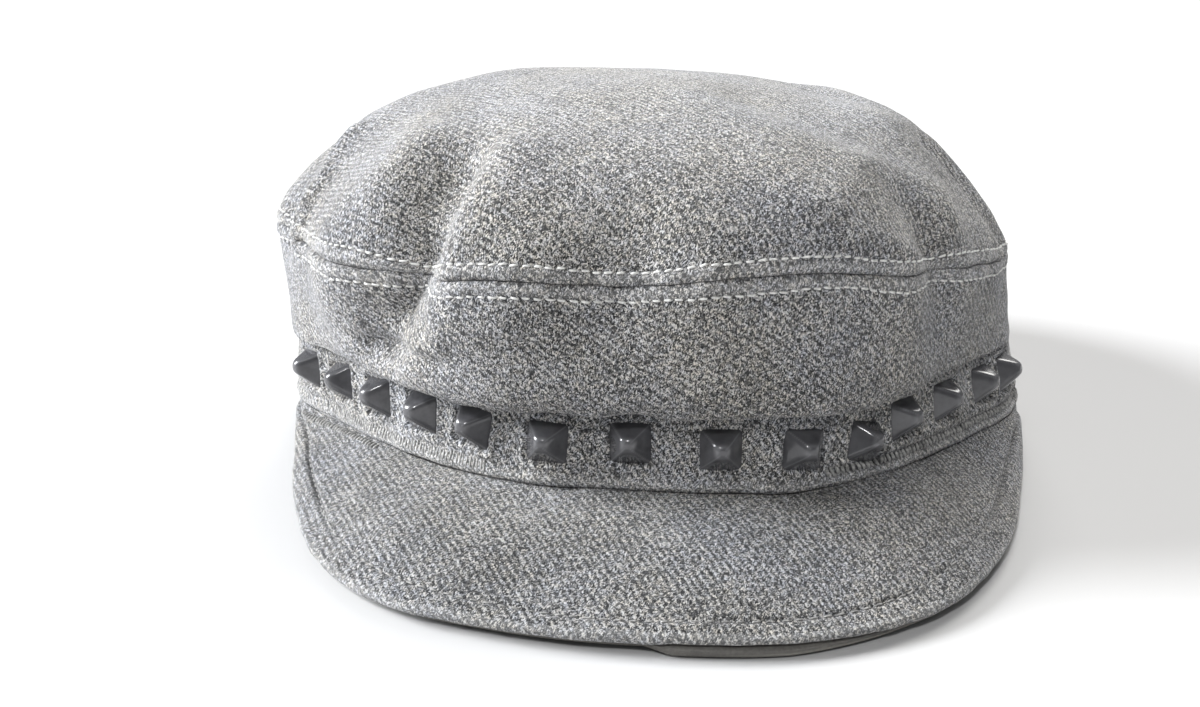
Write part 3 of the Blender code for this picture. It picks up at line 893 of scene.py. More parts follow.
def crown_side():
    outer, normal, distance, level = crown_outer(0.0, 36, 1.0, 0)
    rows = outer.shape[0]
    # Inside: from the seam down, clear of the band's top, to the tuck.
    rim = plan("band_r", TURN) - plan("lean", TURN)
    inner = []
    for at in (1.0, 0.93, 0.85, 0.78, 0.70, 0.63, 0.56, 0.48, 0.40):
        base = crown_base(TURN[None, :], np.full((3, 1), at) + np.array([[-0.01], [0], [0.0]]))[1]
        folded = base + polar(1.0, TURN, 0.0) * fold_offset(base, polar(1.0, TURN, 0.0))[:, None]
        point = folded - polar(CROWN_WALL + 0.25, TURN, 0.0)
        out = np.hypot(point[:, 0], point[:, 1]) - rim
        point[:, 2] = np.maximum(point[:, 2], TUCK_Z + 1.4 - np.clip(out + 0.3, 0, 3))
        inner.append(point)
    room = plan("over", TURN) - CROWN_WALL + 1.3
    inner.append(polar(rim - 1.3 + 0.55 * room, TURN, TUCK_Z + 1.8 - 1.2 * room / 8))
    inner.append(polar(rim - 1.3, TURN, TUCK_Z + CROWN_WALL))
    grid = np.concatenate([outer, np.stack(inner)])
    faces, row, column = lattice(len(grid), AROUND, True, wrap_rows=True)
    # Cloth map: along the seam and up from the tuck.
    seam_step = np.linalg.norm(np.diff(np.vstack([SEAM_LINE, SEAM_LINE[:1]]), axis=0), axis=1)
    along = np.concatenate([[0], np.cumsum(seam_step)])
    back = np.linalg.norm(np.diff(grid[rows - 1 :], axis=0), axis=2).mean(1)
    tall = np.concatenate(
        [-distance.mean(1), -distance.mean(1)[-1] + np.cumsum(back), [0.0]]
    )
    tall[-1] = tall[-2] + 1.5
    exact = np.vstack([-distance, np.zeros((len(grid) + 1 - rows, AROUND))])
    exact[rows:] = tall[rows:, None]
    exact = np.hstack([exact, exact[:, :1]])
    uv = turned(along[column], exact[row, column], -34.5)
    # Paler near the seam: partly wear, partly painted highlight.
    wear_and_highlight = np.concatenate([seam_wear_and_highlight(distance), np.zeros((len(inner), AROUND))])
    made = piece(
        "crown_side_cloth", grid, [faces], CROWN_CLOTH, ["crown_side"], [uv], [("wear_and_highlight", wear_and_highlight)]
    )
    return made, outer, normal, distance


def crown_top():
    outer, normal, distance, level = crown_outer(1.985, 56, 1.25, 1)
    rows = outer.shape[0]
    inner = []
    for at in (1.98, 1.9, 1.8, 1.68, 1.55, 1.42, 1.3, 1.2, 1.12, 1.06, 1.004):
        band = crown_base(TURN[None, :], np.array([[at - 0.02], [at], [min(at + 0.01, 1.99)]]))
        n = grid_normals(band, True)[1]
        flat = polar(1.0, TURN, 0.0)
        share = np.clip((at - 1.004) / 0.3, 0, 1)
        inwards = flat * (1 - share) + n * share
        inwards /= lengths(inwards)
        folded = band[1] + n * fold_offset(band[1], n)[:, None]
        inner.append(folded - inwards * (CROWN_WALL + 0.25))
    inner = np.stack(inner)
    grid = np.concatenate([outer, inner])
    total = len(grid)
    crown = outer[-1].mean(0) + np.array([0, 0, 0.04])
    under = inner[0].mean(0)
    points = np.concatenate([grid.reshape(-1, 3), [crown], [under]])
    quads_a, row_a, col_a = lattice(rows, AROUND, True)
    quads_b, row_b, col_b = lattice(total - rows, AROUND, True, first=rows * AROUND)
    row_b = row_b + rows
    j = np.arange(AROUND)
    edge = np.stack(
        [
            (total - 1) * AROUND + j,
            (total - 1) * AROUND + (j + 1) % AROUND,
            (j + 1) % AROUND,
            j,
        ],
        -1,
    )
    fan_a = np.stack([(rows - 1) * AROUND + j, (rows - 1) * AROUND + (j + 1) % AROUND, np.full(AROUND, total * AROUND)], -1)
    fan_b = np.stack([rows * AROUND + (j + 1) % AROUND, rows * AROUND + j, np.full(AROUND, total * AROUND + 1)], -1)
    # Cloth map: flattened outwards from the middle of the dome.
    reach = distance[-1][None, :] + 1.2 - distance
    reach = np.concatenate([reach, np.linspace(2, 100, total - rows)[:, None] * np.ones(AROUND)])
    reach = np.vstack([reach, np.zeros(AROUND)])
    heading = np.arctan2(SEAM_LINE[:, 0] - TOP_X, -(SEAM_LINE[:, 1] - TOP_Y))
    flat_u = reach * np.sin(heading)
    flat_v = -reach * np.cos(heading)
    both = turned(flat_u, flat_v, -48.0)
    both = np.concatenate([both, both[:, :1]], axis=1)

    def corner(row, column):
        return both[row, column]

    uv = [
        corner(row_a, col_a),
        corner(row_b, col_b),
        corner(
            np.stack([np.full(AROUND, total - 1)] * 2 + [np.zeros(AROUND, int)] * 2, -1),
            np.stack([j, j + 1, j + 1, j], -1),
        ),
        corner(
            np.stack([np.full(AROUND, rows - 1)] * 2 + [np.full(AROUND, total)], -1),
            np.stack([j, j + 1, j], -1),
        ),
        corner(
            np.stack([np.full(AROUND, rows)] * 2 + [np.full(AROUND, total)], -1),
            np.stack([j + 1, j, j], -1),
        ),
    ]
    # Paler near the seam: partly wear, partly painted highlight.
    wear_and_highlight = np.concatenate(
        [seam_wear_and_highlight(distance).ravel(), np.zeros((total - rows) * AROUND + 2)]
    )
    made = piece(
        "crown_top_cloth",
        points,
        [quads_a, quads_b, edge, fan_a, fan_b],
        CROWN_CLOTH,
        ["crown_top"],
        uv,
        [("wear_and_highlight", wear_and_highlight)],
    )
    return made, outer, normal, distance


SIDE, SIDE_FACE, SIDE_NORMAL, SIDE_AWAY = crown_side()
TOP, TOP_FACE, TOP_NORMAL, TOP_AWAY = crown_top()


# =============================================================================
# Stitches
# =============================================================================
def beads(centres, normals, radii, sides=6):
    """Closed threads: centres and normals (count, steps, 3), radii (steps,). Points and faces."""
    count, steps = centres.shape[:2]
    along = np.gradient(centres, axis=1)
    along /= np.maximum(lengths(along), 1e-9)
    side = np.cross(along, normals)
    side /= np.maximum(lengths(side), 1e-9)
    up = np.cross(side, along)
    angle = 2 * math.pi * np.arange(sides) / sides
    ring = (
        centres[:, :, None, :]
        + radii[None, :, None, None]
        * (np.cos(angle)[None, None, :, None] * side[:, :, None, :]
           + 0.8 * np.sin(angle)[None, None, :, None] * up[:, :, None, :])
    )
    each = steps * sides + 2
    points = np.concatenate(
        [
            ring.reshape(count, -1, 3),
            (centres[:, 0] - along[:, 0] * radii[0] * 0.7)[:, None],
            (centres[:, -1] + along[:, -1] * radii[-1] * 0.7)[:, None],
        ],
        axis=1,
    ).reshape(-1, 3)
    quads, row, column = lattice(steps, sides, True)
    k = np.arange(sides)
    start = np.stack([(k + 1) % sides, k, np.full(sides, steps * sides)], -1)
    last = (steps - 1) * sides
    end = np.stack([last + k, last + (k + 1) % sides, np.full(sides, steps * sides + 1)], -1)
    shift = (np.arange(count) * each)[:, None, None]
    quads = (quads[None] + shift).reshape(-1, 4)
    tris = (np.concatenate([start, end])[None] + shift).reshape(-1, 3)
    return points, quads, tris


def joined(parts):
    """Several (points, quads, tris) as one."""
    points, quads, tris, first = [], [], [], 0
    for p, q, t in parts:
        points.append(p)
        quads.append(q + first)
        tris.append(t + first)
        first += len(p)
    return np.concatenate(points), [np.concatenate(quads), np.concatenate(tris)]


def read_grid(grid, column, row):
    """A wrapped grid (rows, columns, 3) read between its points."""
    c0 = np.floor(column).astype(int)
    r0 = np.clip(np.floor(row).astype(int), 0, grid.shape[0] - 2)
    c, r = (column - c0)[..., None], (row - r0)[..., None]
    a, b = c0 % grid.shape[1], (c0 + 1) % grid.shape[1]
    return (
        grid[r0, a] * (1 - c) * (1 - r)
        + grid[r0, b] * c * (1 - r)
        + grid[r0 + 1, a] * (1 - c) * r
        + grid[r0 + 1, b] * c * r
    )


def seam_stitches(face, normal, away, seed, from_seam=3.0, pitch=2.2, length=1.62):
    """A row of top stitches along the crown's seam."""
    rng = np.random.RandomState(seed)
    seam_step = np.linalg.norm(np.diff(np.vstack([SEAM_LINE, SEAM_LINE[:1]]), axis=0), axis=1)
    along = np.concatenate([[0], np.cumsum(seam_step)])
    count = int(along[-1] // pitch)
    start = (np.arange(count) + 0.5) * along[-1] / count + rng.normal(0, 0.10, count)
    long = length * rng.uniform(0.86, 1.12, count)
    steps = np.linspace(-0.5, 0.5, 7)
    at = start[:, None] + long[:, None] * steps[None, :]
    column = np.interp(at % along[-1], along, np.arange(AROUND + 1))
    ways = wavy(SEAM_LINE, 26.0, seed + 5)
    drift = np.interp(start % along[-1], along[:-1], ways) * 0.22
    slant = rng.normal(0.10, 0.05, count)
    distance = from_seam + drift[:, None] + slant[:, None] * (at - start[:, None])
    distance = distance + rng.normal(0, 0.07, count)[:, None]
    column_away = away.mean(1)
    order = np.argsort(column_away)
    row = np.interp(distance, column_away[order], np.arange(len(column_away))[order].astype(float))
    centre = read_grid(face, column, row)
    up = read_grid(normal, column, row)
    rise = 0.26 * np.cos(steps * math.pi) ** 0.6 - 0.06
    rise[0] = rise[-1] = -0.30
    centre = centre + up * rise[None, :, None]
    radii = 0.24 * np.array([0.6, 0.9, 1.0, 1.0, 1.0, 0.9, 0.6])
    return beads(centre, up, radii)


points, faces = joined(
    [
        seam_stitches(SIDE_FACE, SIDE_NORMAL, SIDE_AWAY, 31),
        seam_stitches(TOP_FACE, TOP_NORMAL, TOP_AWAY, 47),
    ]
)
SEAM_THREAD = piece("crown_topstitch", points, faces, PALE_THREAD)

# =============================================================================
# Band
# =============================================================================
PLACES = stud_places()


def cord_channel(azimuth, z):
    """Right of the front a twisted cord lies in a sunk channel along the lower edge."""
    reach = np.clip((azimuth - 22) / 4, 0, 1) * np.clip((79 - azimuth) / 4, 0, 1)
    return reach * np.exp(-(((z - 3.4) / 1.15) ** 4))


def band_relief(points, azimuth, z):
    """Small relief of the band: puckers, and the cloth that swells round each stud."""
    lift = 0.28 * wavy(points, 15.0, 61) + 0.10 * wavy(points, 6.0, 62)
    radius = np.hypot(points[..., 0], points[..., 1])
    for at, height, turn in PLACES:
        du = np.radians(azimuth - at) * radius
        dv = z - height
        if not np.any(np.abs(du) < 12):
            continue
        a = math.radians(turn)
        x = du * math.cos(a) + dv * math.sin(a)
        y = -du * math.sin(a) + dv * math.cos(a)
        q = np.maximum(np.abs(x), np.abs(y)) - STUD_SIDE / 2
        swell = 0.55 * np.exp(-(((q - 0.7) / 0.9) ** 2))
        inside = np.clip(1 - (q + 0.1) / 0.5, 0, 1)
        lift = lift * (1 - inside) + swell * (1 - inside) - 0.25 * inside
    lift = lift - 0.60 * cord_channel(azimuth, z)
    # The lower edge is a fold, a little full above a stitched line.
    lift = lift + 0.30 * np.exp(-(((z - 1.6) / 1.1) ** 2)) - 0.16 * np.exp(-(((z - 3.5) / 0.55) ** 2))
    return lift


def band():
    heights = np.concatenate([[1.2], np.linspace(1.7, BAND_HEIGHT - 1.2, 36)])
    azimuth, z = np.broadcast_arrays(TURN[None, :], heights[:, None])
    base = band_face(azimuth, z)
    normal = grid_normals(base, True)
    outer = base + normal * band_relief(base, azimuth, z)[..., None]
    depth = BAND_WALL / 2
    rows = [outer]
    for angle in (30, 60, 90, 120, 150, 180):
        a = math.radians(angle)
        point = band_face(TURN, BAND_HEIGHT - depth)
        point = point - polar(depth * (1 - math.cos(a)), TURN, 0.0)
        point[:, 2] += depth * math.sin(a)
        rows.append(point[None])
    for height in np.linspace(BAND_HEIGHT - 2.5, 2.5, 8):
        rows.append((band_face(TURN, height) - polar(BAND_WALL, TURN, 0.0))[None])
    lower = outer[0]
    for angle in (180, 150, 120, 90, 60, 30):
        a = math.radians(angle)
        point = band_face(TURN, depth) - polar(depth * (1 - math.cos(a)), TURN, 0.0)
        blend = (1 + math.cos(a)) / 2
        point = point + (lower - band_face(TURN, depth)) * blend
        point[:, 2] = depth - depth * math.sin(a)
        rows.append(point[None])
    grid = np.concatenate(rows)
    faces, row, column = lattice(len(grid), AROUND, True, wrap_rows=True)
    run = band_face(TURN, 10.0)
    step = np.linalg.norm(np.diff(np.vstack([run, run[:1]]), axis=0), axis=1)
    along = np.concatenate([[0], np.cumsum(step)])
    loop = np.concatenate([grid, grid[:1]])
    tall = np.concatenate([[0], np.cumsum(np.linalg.norm(np.diff(loop, axis=0), axis=2).mean(1))])
    uv = turned(along[column], tall[row], -52.0)
    # Paler along the lower edge's fold: partly wear, partly painted highlight.
    wear_and_highlight = np.zeros((len(grid), AROUND))
    wear_and_highlight[: len(heights)] = np.exp(-(((heights - 1.6) / 1.2) ** 2))[:, None]
    # Painted shade: the sunk channel under the twisted cord is coloured near-black.
    deep = np.zeros((len(grid), AROUND))
    deep[: len(heights)] = cord_channel(azimuth, z)
    made = piece("band_cloth", grid, [faces], BAND_CLOTH, ["band"], [uv], [("wear_and_highlight", wear_and_highlight), ("deep", deep)])
    return made, outer, normal, heights


BAND, BAND_OUTER, BAND_NORMAL, BAND_ROWS = band()


def on_band(azimuth, z):
    """Point and normal on the band's finished face."""
    column = (np.asarray(azimuth, float) + 180) % 360 / 360 * AROUND
    row = np.interp(z, BAND_ROWS, np.arange(len(BAND_ROWS)))
    column, row = np.broadcast_arrays(column, row)
    return read_grid(BAND_OUTER, column, row), read_grid(BAND_NORMAL, column, row)


def slanted_stitches(azimuths, low, high, slant_deg, radius, seed, proud=0.12):
    """Short overcast stitches across the band's lower edge, one at each azimuth."""
    rng = np.random.RandomState(seed)
    azimuths = np.asarray(azimuths, float) + rng.normal(0, 0.05, len(azimuths))
    steps = np.linspace(0, 1, 6)
    z = low + (high - low) * steps[None, :] + rng.normal(0, 0.06, len(azimuths))[:, None]
    azimuth = azimuths[:, None] + slant_deg * (steps[None, :] - 0.5)
    point, normal = on_band(azimuth, z)
    rise = proud * np.cos((steps - 0.5) * math.pi) - 0.10
    point = point + normal * rise[None, :, None]
    radii = radius * np.array([0.5, 0.9, 1.0, 1.0, 0.9, 0.5])
    return beads(point, normal, radii)


cord_right = np.arange(23.0, 78.0, 0.86)
points, faces = joined(
    [
        slanted_stitches(cord_right, 2.55, 4.25, -0.55, 0.40, 71, 0.50),
        slanted_stitches(np.arange(-62.0, -24.0, 0.62), 1.3, 4.2, 0.10, 0.26, 73, 0.06),
    ]
)
EDGE_THREAD = piece("band_edge_stitch", points, faces, GREY_THREAD)

# =============================================================================
# Peak
# =============================================================================
def under_shows(azimuth):
    """How much of the smooth under layer's lip shows past the cloth's edge: right of the middle, tapering away."""
    share = np.clip((azimuth + 0.8) / 2.2, 0, 1)
    share = share * np.clip(1 - (azimuth - 11) / 14, 0.16, 1)
    return share * np.clip((46 - azimuth) / 8, 0, 1)


PEAK_COLUMNS_FINE = 640
PEAK_ROWS = 104
# Distance of the stitched groove from the peak's edge, in mm.
GROOVE = (
    (-80, 0.6), (-77, 1.9), (-73, 3.2), (-66, 4.2), (-58, 4.9), (-48, 5.7), (-40, 6.1), (-32, 6.0), (-18, 4.6),
    (0, 3.8), (18, 4.6), (32, 6.0), (40, 6.1), (48, 5.7), (58, 4.9), (66, 4.2), (73, 3.2), (77, 1.9), (80, 0.6),
)


def groove_depth(azimuth):
    """How deep the groove is drawn in: deep at both ends, faint at the front."""
    return np.clip((np.abs(azimuth) - 36) / 9, 0.28, 1) * np.clip((81 - np.abs(azimuth)) / 4, 0, 1)




def peak_relief(points, azimuth, share, width):
    edge = (1 - share) * width  # mm from the edge
    root = share * width
    groove = reading(GROOVE, azimuth)
    deep = groove_depth(azimuth)
    lift = -0.95 * deep * np.exp(-(((edge - groove) / 0.50) ** 2))
    lift = lift + 0.22 * deep * np.exp(-(((edge - groove - 1.5) / 0.9) ** 2))
    lift = lift + 0.20 * deep * np.exp(-(((edge - groove + 1.5) / 0.9) ** 2))
    lift = lift + 0.30 * np.exp(-((root / 1.5) ** 2)) + 0.22 * np.exp(-(((root - 3.0) / 1.2) ** 2))
    ease = np.clip(width / 12, 0, 1) * np.clip(edge / 3, 0, 1)
    lift = lift + ease * (0.30 * wavy(points, 38.0, 81) + 0.10 * wavy(points, 15.0, 82))
    # Cloth drawn round the edge ripples along it at the front.
    front = np.clip(1 - np.abs(azimuth) / 44, 0, 1)
    ripple = np.cos(2 * math.pi * edge / 2.6 + 1.5 * wavy(points, 22.0, 83))
    lift = lift + 0.10 * front * ripple * np.exp(-(((edge - 7.5) / 4.5) ** 2))
    # A short crease near the right edge.
    crease = np.exp(-(((azimuth - 57.0) / 0.9) ** 2)) * np.exp(-(((edge - 6.5) / 4.0) ** 2))
    return lift - 0.30 * crease


def peak_grid(azimuth, share, with_relief=True):
    here = peak_face(azimuth, share)
    out = peak_face(azimuth, share + 0.01) - peak_face(azimuth, share - 0.01)
    across = peak_face(azimuth + 0.5, share) - peak_face(azimuth - 0.5, share)
    normal = np.cross(across, out)
    normal /= lengths(normal)
    normal *= np.sign(normal[..., 2:3])
    out /= lengths(out)
    return here, normal, out


def ladder(top, bottom):
    """Triangles between two runs of corner numbers that start and end side by side."""
    tris, i, j = [], 0, 0
    while i < len(top) - 1 or j < len(bottom) - 1:
        if j == len(bottom) - 1 or (
            i < len(top) - 1 and (i + 1) / (len(top) - 1) <= (j + 1) / (len(bottom) - 1)
        ):
            tris.append((top[i], top[i + 1], bottom[j]))
            i += 1
        else:
            tris.append((top[i], bottom[j + 1], bottom[j]))
            j += 1
    return tris


def closed_sheet(name, rows, surface, replaces, uv_rows, wear_and_highlight, split, deep=None):
    """A closed strip from rows (count, columns, 3) that go out over the upper face, round the edge and back under. split: rows on the upper face."""
    count, columns = rows.shape[:2]
    faces, row, column = lattice(count, columns, False, wrap_rows=True)
    caps = []
    for j, flip in ((0, False), (columns - 1, True)):
        top = [r * columns + j for r in range(split)]
        bottom = [r * columns + j for r in range(count - 1, split - 2, -1)]
        for a, b, c in ladder(top, bottom):
            if len({a, b, c}) == 3:
                caps.append((c, b, a) if flip else (a, b, c))
    caps = np.array(caps)
    deep = np.zeros(rows.shape[:2]) if deep is None else deep
    uv = [uv_rows[row % count, column], uv_rows[caps // columns, caps % columns]]
    made = piece(
        name, rows, [faces, caps], surface, replaces, uv, [("wear_and_highlight", wear_and_highlight), ("deep", deep)]
    )
    made.data.flip_normals() if outward_volume(made) < 0 else None
    return made


def outward_volume(made):
    """Signed volume of a closed mesh."""
    mesh = made.data
    mesh.calc_loop_triangles()
    co = np.empty(len(mesh.vertices) * 3)
    mesh.vertices.foreach_get("co", co)
    co = co.reshape(-1, 3)
    tri = np.empty(len(mesh.loop_triangles) * 3, int)
    mesh.loop_triangles.foreach_get("vertices", tri)
    a, b, c = (co[tri.reshape(-1, 3)[:, k]] for k in range(3))
    return float(np.einsum("ij,ij->i", a, np.cross(b, c)).sum() / 6)


def peak():
    azimuth = np.linspace(PEAK[0][0], PEAK[-1][0], PEAK_COLUMNS_FINE)[None, :]
    edge_in = 1.0  # radius of the rolled edge
    root = plan("band_r", azimuth) - PEAK_ROOT_IN
    width = np.linalg.norm(peak_face(azimuth, 1.0) - peak_face(azimuth, 0.0), axis=-1)
    last = 1 - np.minimum(edge_in / width, 0.4)
    share = np.linspace(0, 1, PEAK_ROWS)[:, None] * last
    here, normal, out = peak_grid(azimuth, share)
    lift = peak_relief(here, np.broadcast_to(azimuth, share.shape), share, width)
    upper = here + normal * lift[..., None]
    # The edge, thinner where the under layer shows.
    wall = PEAK_WALL - 0.75 * under_shows(azimuth[0])
    half = wall / 2
    end, end_normal, end_out = here[-1], normal[-1], out[-1]
    long = (width[0] * (1 - last[0]))[:, None]
    rolled = []
    soft = 0.10 * wavy(end, 7.0, 85)[:, None]
    for angle in (22, 45, 68, 90, 112, 135, 158, 180):
        a = math.radians(angle)
        rolled.append(
            end
            + end_normal * ((math.cos(a) - 1) * half)[:, None]
            + end_out * (math.sin(a) * (long + soft * math.sin(a)))
            + end_normal * lift[-1][:, None] * max(math.cos(a), 0)
        )
    under = []
    for at in (0.85, 0.65, 0.45, 0.25, 0.10, 0.0):
        point, n, _ = peak_grid(azimuth[0], at * last[0])
        level = np.clip(at / 0.85, 0, 1)
        under.append(point - n * (PEAK_WALL * (1 - level) + wall * level)[:, None])
    rows = np.concatenate([upper, np.stack(rolled), np.stack(under)])
    # Cloth map: rolled out flat round the cap's axis.
    step = np.linalg.norm(np.diff(rows, axis=0), axis=2)
    reach = root + np.concatenate([np.zeros((1, rows.shape[1])), np.cumsum(step, axis=0)])
    a = np.radians(azimuth)
    uv = turned(reach * np.sin(a), -reach * np.cos(a), -62.0)
    # Paler round the rolled edge: partly wear, partly painted highlight.
    wear_and_highlight = np.zeros(rows.shape[:2])
    wear_and_highlight[PEAK_ROWS - 2 : PEAK_ROWS + 5] = 1.0
    # Painted shade: the stitched groove is coloured darker, most where it is drawn in deepest.
    deep = np.zeros(rows.shape[:2])
    from_groove = (1 - share) * width - reading(GROOVE, azimuth[0])
    deep[:PEAK_ROWS] = 0.9 * groove_depth(azimuth) ** 2 * np.exp(-((from_groove / 0.36) ** 2))
    made = closed_sheet(
        "peak_cloth", rows, PEAK_CLOTH, ["peak"], uv, wear_and_highlight, PEAK_ROWS, deep
    )
    return made, upper, normal, azimuth[0], width[0], last[0]


PEAK_PIECE, PEAK_UPPER, PEAK_NORMAL, PEAK_TURN, PEAK_WIDE, PEAK_LAST = peak()


def facing():
    """The smooth layer under the peak, with a soft lip past its edge."""
    azimuth = np.linspace(PEAK[0][0], PEAK[-1][0], 420)[None, :]
    share = np.linspace(0, 1, 24)[:, None]
    here, normal, out = peak_grid(azimuth, share)
    show = under_shows(azimuth[0])
    raise_lip = (0.70 * show)[None, :] * (share**6)
    proud = (FACING_PROUD * show - 1.3 * (1 - show))[None, :] * share**4
    upper = here - normal * (PEAK_WALL + GAP - raise_lip)[..., None] + out * proud[..., None]
    lower = here - normal * (PEAK_WALL + GAP + FACING_WALL) + out * proud[..., None]
    thick = np.linalg.norm(upper[-1] - lower[-1], axis=-1)[:, None] / 2
    middle = (upper[-1] + lower[-1]) / 2
    rolled = []
    for angle in (20, 45, 70, 95, 120, 145, 165):
        a = math.radians(angle)
        lean = 0.12 + 0.40 * (1 - math.cos(a)) / 2  # the lower lip stands out
        rolled.append(middle + normal[-1] * math.cos(a) * thick + out[-1] * math.sin(a) * lean)
    rows = np.concatenate([upper, np.stack(rolled), lower[::-1]])
    uv = rows[..., :2]
    wear_and_highlight = np.zeros(rows.shape[:2])
    # Painted highlight along the lower lip.
    wear_and_highlight[27:31] = np.clip((azimuth[0] - 5) / 8, 0, 1)
    return closed_sheet("peak_under_layer", rows, FACING, ["peak_facing"], uv, wear_and_highlight, 24)


UNDER = facing()


def groove_stitches():
    """Sunk stitches in the peak's groove."""
    rng = np.random.RandomState(91)
    wide = np.interp(np.linspace(-79, 79, 4000), PEAK_TURN, PEAK_WIDE)
    turn = np.linspace(-79, 79, 4000)
    distance = reading(GROOVE, turn)
    share = 1 - distance / wide
    line = peak_face(turn, share)
    along = np.concatenate([[0], np.cumsum(np.linalg.norm(np.diff(line, axis=0), axis=1))])
    pitch = 2.7
    count = int(along[-1] // pitch)
    start = (np.arange(count) + 0.5) * pitch + rng.normal(0, 0.08, count)
    steps = np.linspace(-0.5, 0.5, 7)
    at = np.clip(start[:, None] + 1.85 * steps[None, :], 0, along[-1])
    turn_at = np.interp(at, along, turn)
    share_at = np.interp(at, along, share)
    column = np.interp(turn_at, PEAK_TURN, np.arange(len(PEAK_TURN)))
    row = share_at / np.interp(turn_at, PEAK_TURN, PEAK_LAST) * (PEAK_ROWS - 1)
    centre = read_grid(PEAK_UPPER, column, row)
    up = read_grid(PEAK_NORMAL, column, row)
    rise = 0.16 * np.cos(steps * math.pi) - 0.02
    rise[0] = rise[-1] = -0.25
    return beads(centre + up * rise[None, :, None], up, 0.20 * np.array([0.5, 0.85, 1, 1, 1, 0.85, 0.5]))


def root_stitches(turns, seed):
    """Whipped nubs along the peak's root edge."""
    rng = np.random.RandomState(seed)
    turns = np.asarray(turns, float)
    wide = np.interp(turns, PEAK_TURN, PEAK_WIDE)
    steps = np.linspace(0, 1, 6)
    reach = 1.3 + 2.0 * steps[None, :] + rng.normal(0, 0.08, len(turns))[:, None]
    share = reach / wide[:, None]
    turn = turns[:, None] + 0.35 * steps[None, :]
    column = np.interp(turn, PEAK_TURN, np.arange(len(PEAK_TURN)))
    row = np.clip(share / np.interp(turn, PEAK_TURN, PEAK_LAST), 0, 1) * (PEAK_ROWS - 1)
    centre = read_grid(PEAK_UPPER, column, row)
    up = read_grid(PEAK_NORMAL, column, row)
    rise = 0.22 * np.cos((steps - 0.5) * math.pi) - 0.08
    return beads(centre + up * rise[None, :, None], up, 0.34 * np.array([0.5, 0.9, 1, 1, 0.9, 0.5]))


points, faces = joined([groove_stitches()])
GROOVE_THREAD = piece("peak_groove_stitch", points, faces, GREY_THREAD)
points, faces = joined([root_stitches(np.arange(-70.0, -46.0, 0.78), 93)])
WHIP_THREAD = piece("peak_root_whipping", points, faces, GREY_THREAD)


# =============================================================================
# Studs
# =============================================================================
# Height of a stud from its middle (0) to its edge (1).
STUD_PROFILE = (
    (0.00, 1.00),
    (0.18, 0.99),
    (0.28, 0.945),
    (0.38, 0.855),
    (0.50, 0.705),
    (0.62, 0.535),
    (0.74, 0.360),
    (0.85, 0.200),
    (0.94, 0.080),
    (1.00, 0.00),
)
STUD_LEAN = 0.15  # how far the point leans up the band, for each mm out


def stud(index, at, height, turn):
    """A flared square pyramid with soft ridges and a blunt point, sunk into the cloth."""
    steps = 33
    line = np.linspace(-1, 1, steps)
    line = np.sign(line) * np.abs(line) ** 0.92
    x, y = np.meshgrid(line, line)
    # Squarer at the foot than at the rounded top; the faces hollow out towards the foot.
    far = np.maximum(np.abs(x), np.abs(y))
    power = 2.2 + 7.0 * np.clip((far - 0.16) / 0.8, 0, 1)
    q = (np.abs(x) ** power + np.abs(y) ** power) ** (1 / power)
    q = np.minimum(q, 1.0)
    rise = smooth_read(STUD_PROFILE, ("q", "rise"), "rise", q)
    half = STUD_SIDE / 2
    # The outline's corners are eased.
    corner = (np.abs(x) ** 6 + np.abs(y) ** 6) ** (1 / 6)
    ease = np.where(corner > 1, 1 / corner, 1.0)
    foot = -0.55
    z = foot + (STUD_TOP - foot) * rise
    top = np.stack([x * ease * half, y * ease * half, z], -1)
    flat = top.copy()
    flat[..., 2] = foot - 0.5
    count = steps * steps
    points = np.concatenate([top.reshape(-1, 3), flat.reshape(-1, 3)])
    upper, _, _ = lattice(steps, steps, False)
    lower = upper[:, ::-1] + count
    ring = np.concatenate(
        [
            np.arange(steps),
            np.arange(1, steps) * steps + steps - 1,
            (steps - 1) * steps + np.arange(steps - 2, -1, -1),
            np.arange(steps - 2, 0, -1) * steps,
        ]
    )
    after = np.roll(ring, -1)
    wall = np.stack([ring + count, after + count, after, ring], -1)
    # Painted highlight: paler along the ridges and in a ring round the blunt top.
    ridge = np.exp(-((np.abs(np.abs(x) - np.abs(y)) / 0.05) ** 2)) * (q > 0.12) * (q < 0.97)
    tip = 0.45 * np.exp(-(((q - 0.27) / 0.08) ** 2))
    wear_and_highlight = np.concatenate([np.clip(ridge * 0.6 + tip, 0, 1).ravel(), np.zeros(count)])
    middle = band_face(at, height)
    across = band_face(at + 0.5, height) - band_face(at - 0.5, height)
    up = band_face(at, height + 1) - band_face(at, height - 1)
    across /= np.linalg.norm(across)
    up /= np.linalg.norm(up)
    out = np.cross(across, up)
    up = np.cross(out, across)
    a = math.radians(turn)
    local_x = points[:, 0] * math.cos(a) - points[:, 1] * math.sin(a)
    local_y = points[:, 0] * math.sin(a) + points[:, 1] * math.cos(a)
    local_y = local_y + STUD_LEAN * points[:, 2]
    placed = middle + local_x[:, None] * across + local_y[:, None] * up + points[:, 2:3] * out
    name = f"stud_{index:02d}"
    made = piece(
        f"{name}_cap", placed, [upper, lower, wall], STUD, [name], None, [("wear_and_highlight", wear_and_highlight)]
    )
    return made


STUD_PIECES = [stud(i + 1, *place) for i, place in enumerate(PLACES)]


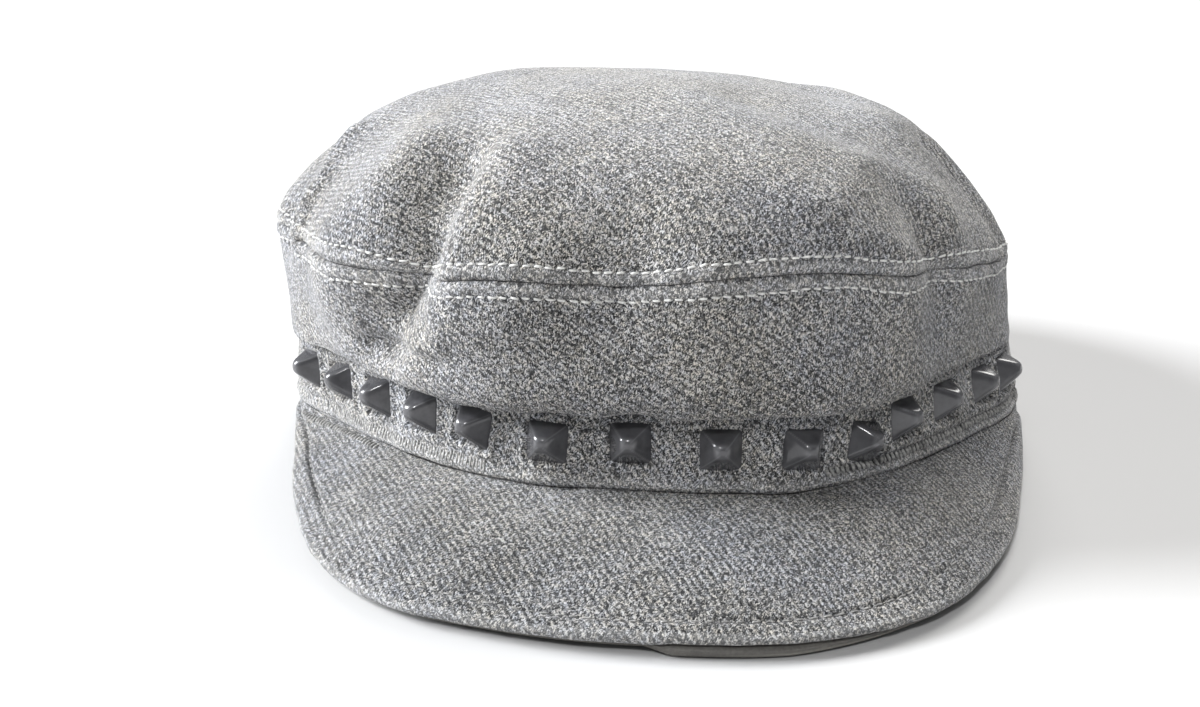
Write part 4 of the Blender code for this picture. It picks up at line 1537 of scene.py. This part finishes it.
# =============================================================================
# Floor, light, camera
# =============================================================================
def floor():
    mesh = bpy.data.meshes.new("floor")
    size = 14.0
    mesh.from_pydata(
        [(-size, -size, 0), (size, -size, 0), (size, size, 0), (-size, size, 0)], [], [(0, 1, 2, 3)]
    )
    made, tree, shader = nodes_of("floor_pale")
    spot = add(tree, "ShaderNodeTexCoord").outputs["Object"]
    cloud = noise(tree, spot, 3.0, 2.0, 0.5)
    colour = ramp(tree, cloud.outputs[0], ((0.3, (0.595, 0.595, 0.60)), (0.7, (0.615, 0.615, 0.615))))
    tree.links.new(colour, shader.inputs["Base Color"])
    shader.inputs["Roughness"].default_value = 0.9
    shader.inputs["Specular IOR Level"].default_value = 0.1
    mesh.materials.append(made)
    placed = bpy.data.objects.new("floor", mesh)
    bpy.context.scene.collection.objects.link(placed)


def lamp(name, place, target, size, power, colour):
    data = bpy.data.lights.new(name, "AREA")
    data.shape = "DISK"
    data.size = size
    data.energy = power
    data.color = colour
    made = bpy.data.objects.new(name, data)
    made.location = place
    way = Vector(target) - Vector(place)
    made.rotation_euler = way.to_track_quat("-Z", "Y").to_euler()
    bpy.context.scene.collection.objects.link(made)


def camera():
    data = bpy.data.cameras.new("camera")
    data.sensor_fit = "HORIZONTAL"
    data.sensor_width = 36.0
    data.lens = 35.25
    data.shift_x = -58 / 1200
    data.shift_y = 21.5 / 1200
    data.clip_start = 0.01
    data.clip_end = 60.0
    made = bpy.data.objects.new("camera", data)
    place = Vector((0.48, -288.62, 117.69)) * MM
    target = Vector((0.48, 9.64, 7.37)) * MM
    turn = (target - place).to_track_quat("-Z", "Y") @ Quaternion((0, 0, 1), math.radians(0.9))
    made.rotation_mode = "QUATERNION"
    made.location = place
    made.rotation_quaternion = turn
    bpy.context.scene.collection.objects.link(made)
    bpy.context.scene.camera = made


def sun(name, way, strength, soft_deg, colour):
    """Window light from one side: `way` is where it goes."""
    data = bpy.data.lights.new(name, "SUN")
    data.energy = strength
    data.angle = math.radians(soft_deg)
    data.color = colour
    made = bpy.data.objects.new(name, data)
    made.rotation_euler = Vector(way).to_track_quat("-Z", "Y").to_euler()
    bpy.context.scene.collection.objects.link(made)


def light():
    world = bpy.data.worlds.new("studio")
    world.use_nodes = True
    back = world.node_tree.nodes["Background"]
    back.inputs["Color"].default_value = (0.97, 0.98, 1.0, 1)
    back.inputs["Strength"].default_value = 0.20
    bpy.context.scene.world = world
    sun("key", (0.89, -0.11, -0.43), 7.8, 30, (0.965, 0.98, 1.0))
    sun("back", (-0.24, -0.67, -0.70), 3.2, 44, (1.0, 0.985, 0.955))
    lamp("glint", (-0.22, -0.78, 0.86), (0, 0, 0.03), 0.13, 4.2, (1.0, 1.0, 1.0))


floor()
light()
camera()
scene = bpy.context.scene
scene.view_settings.view_transform = "Standard"
scene.view_settings.look = "None"
scene.view_settings.exposure = 0.0
scene.view_settings.gamma = 1.0
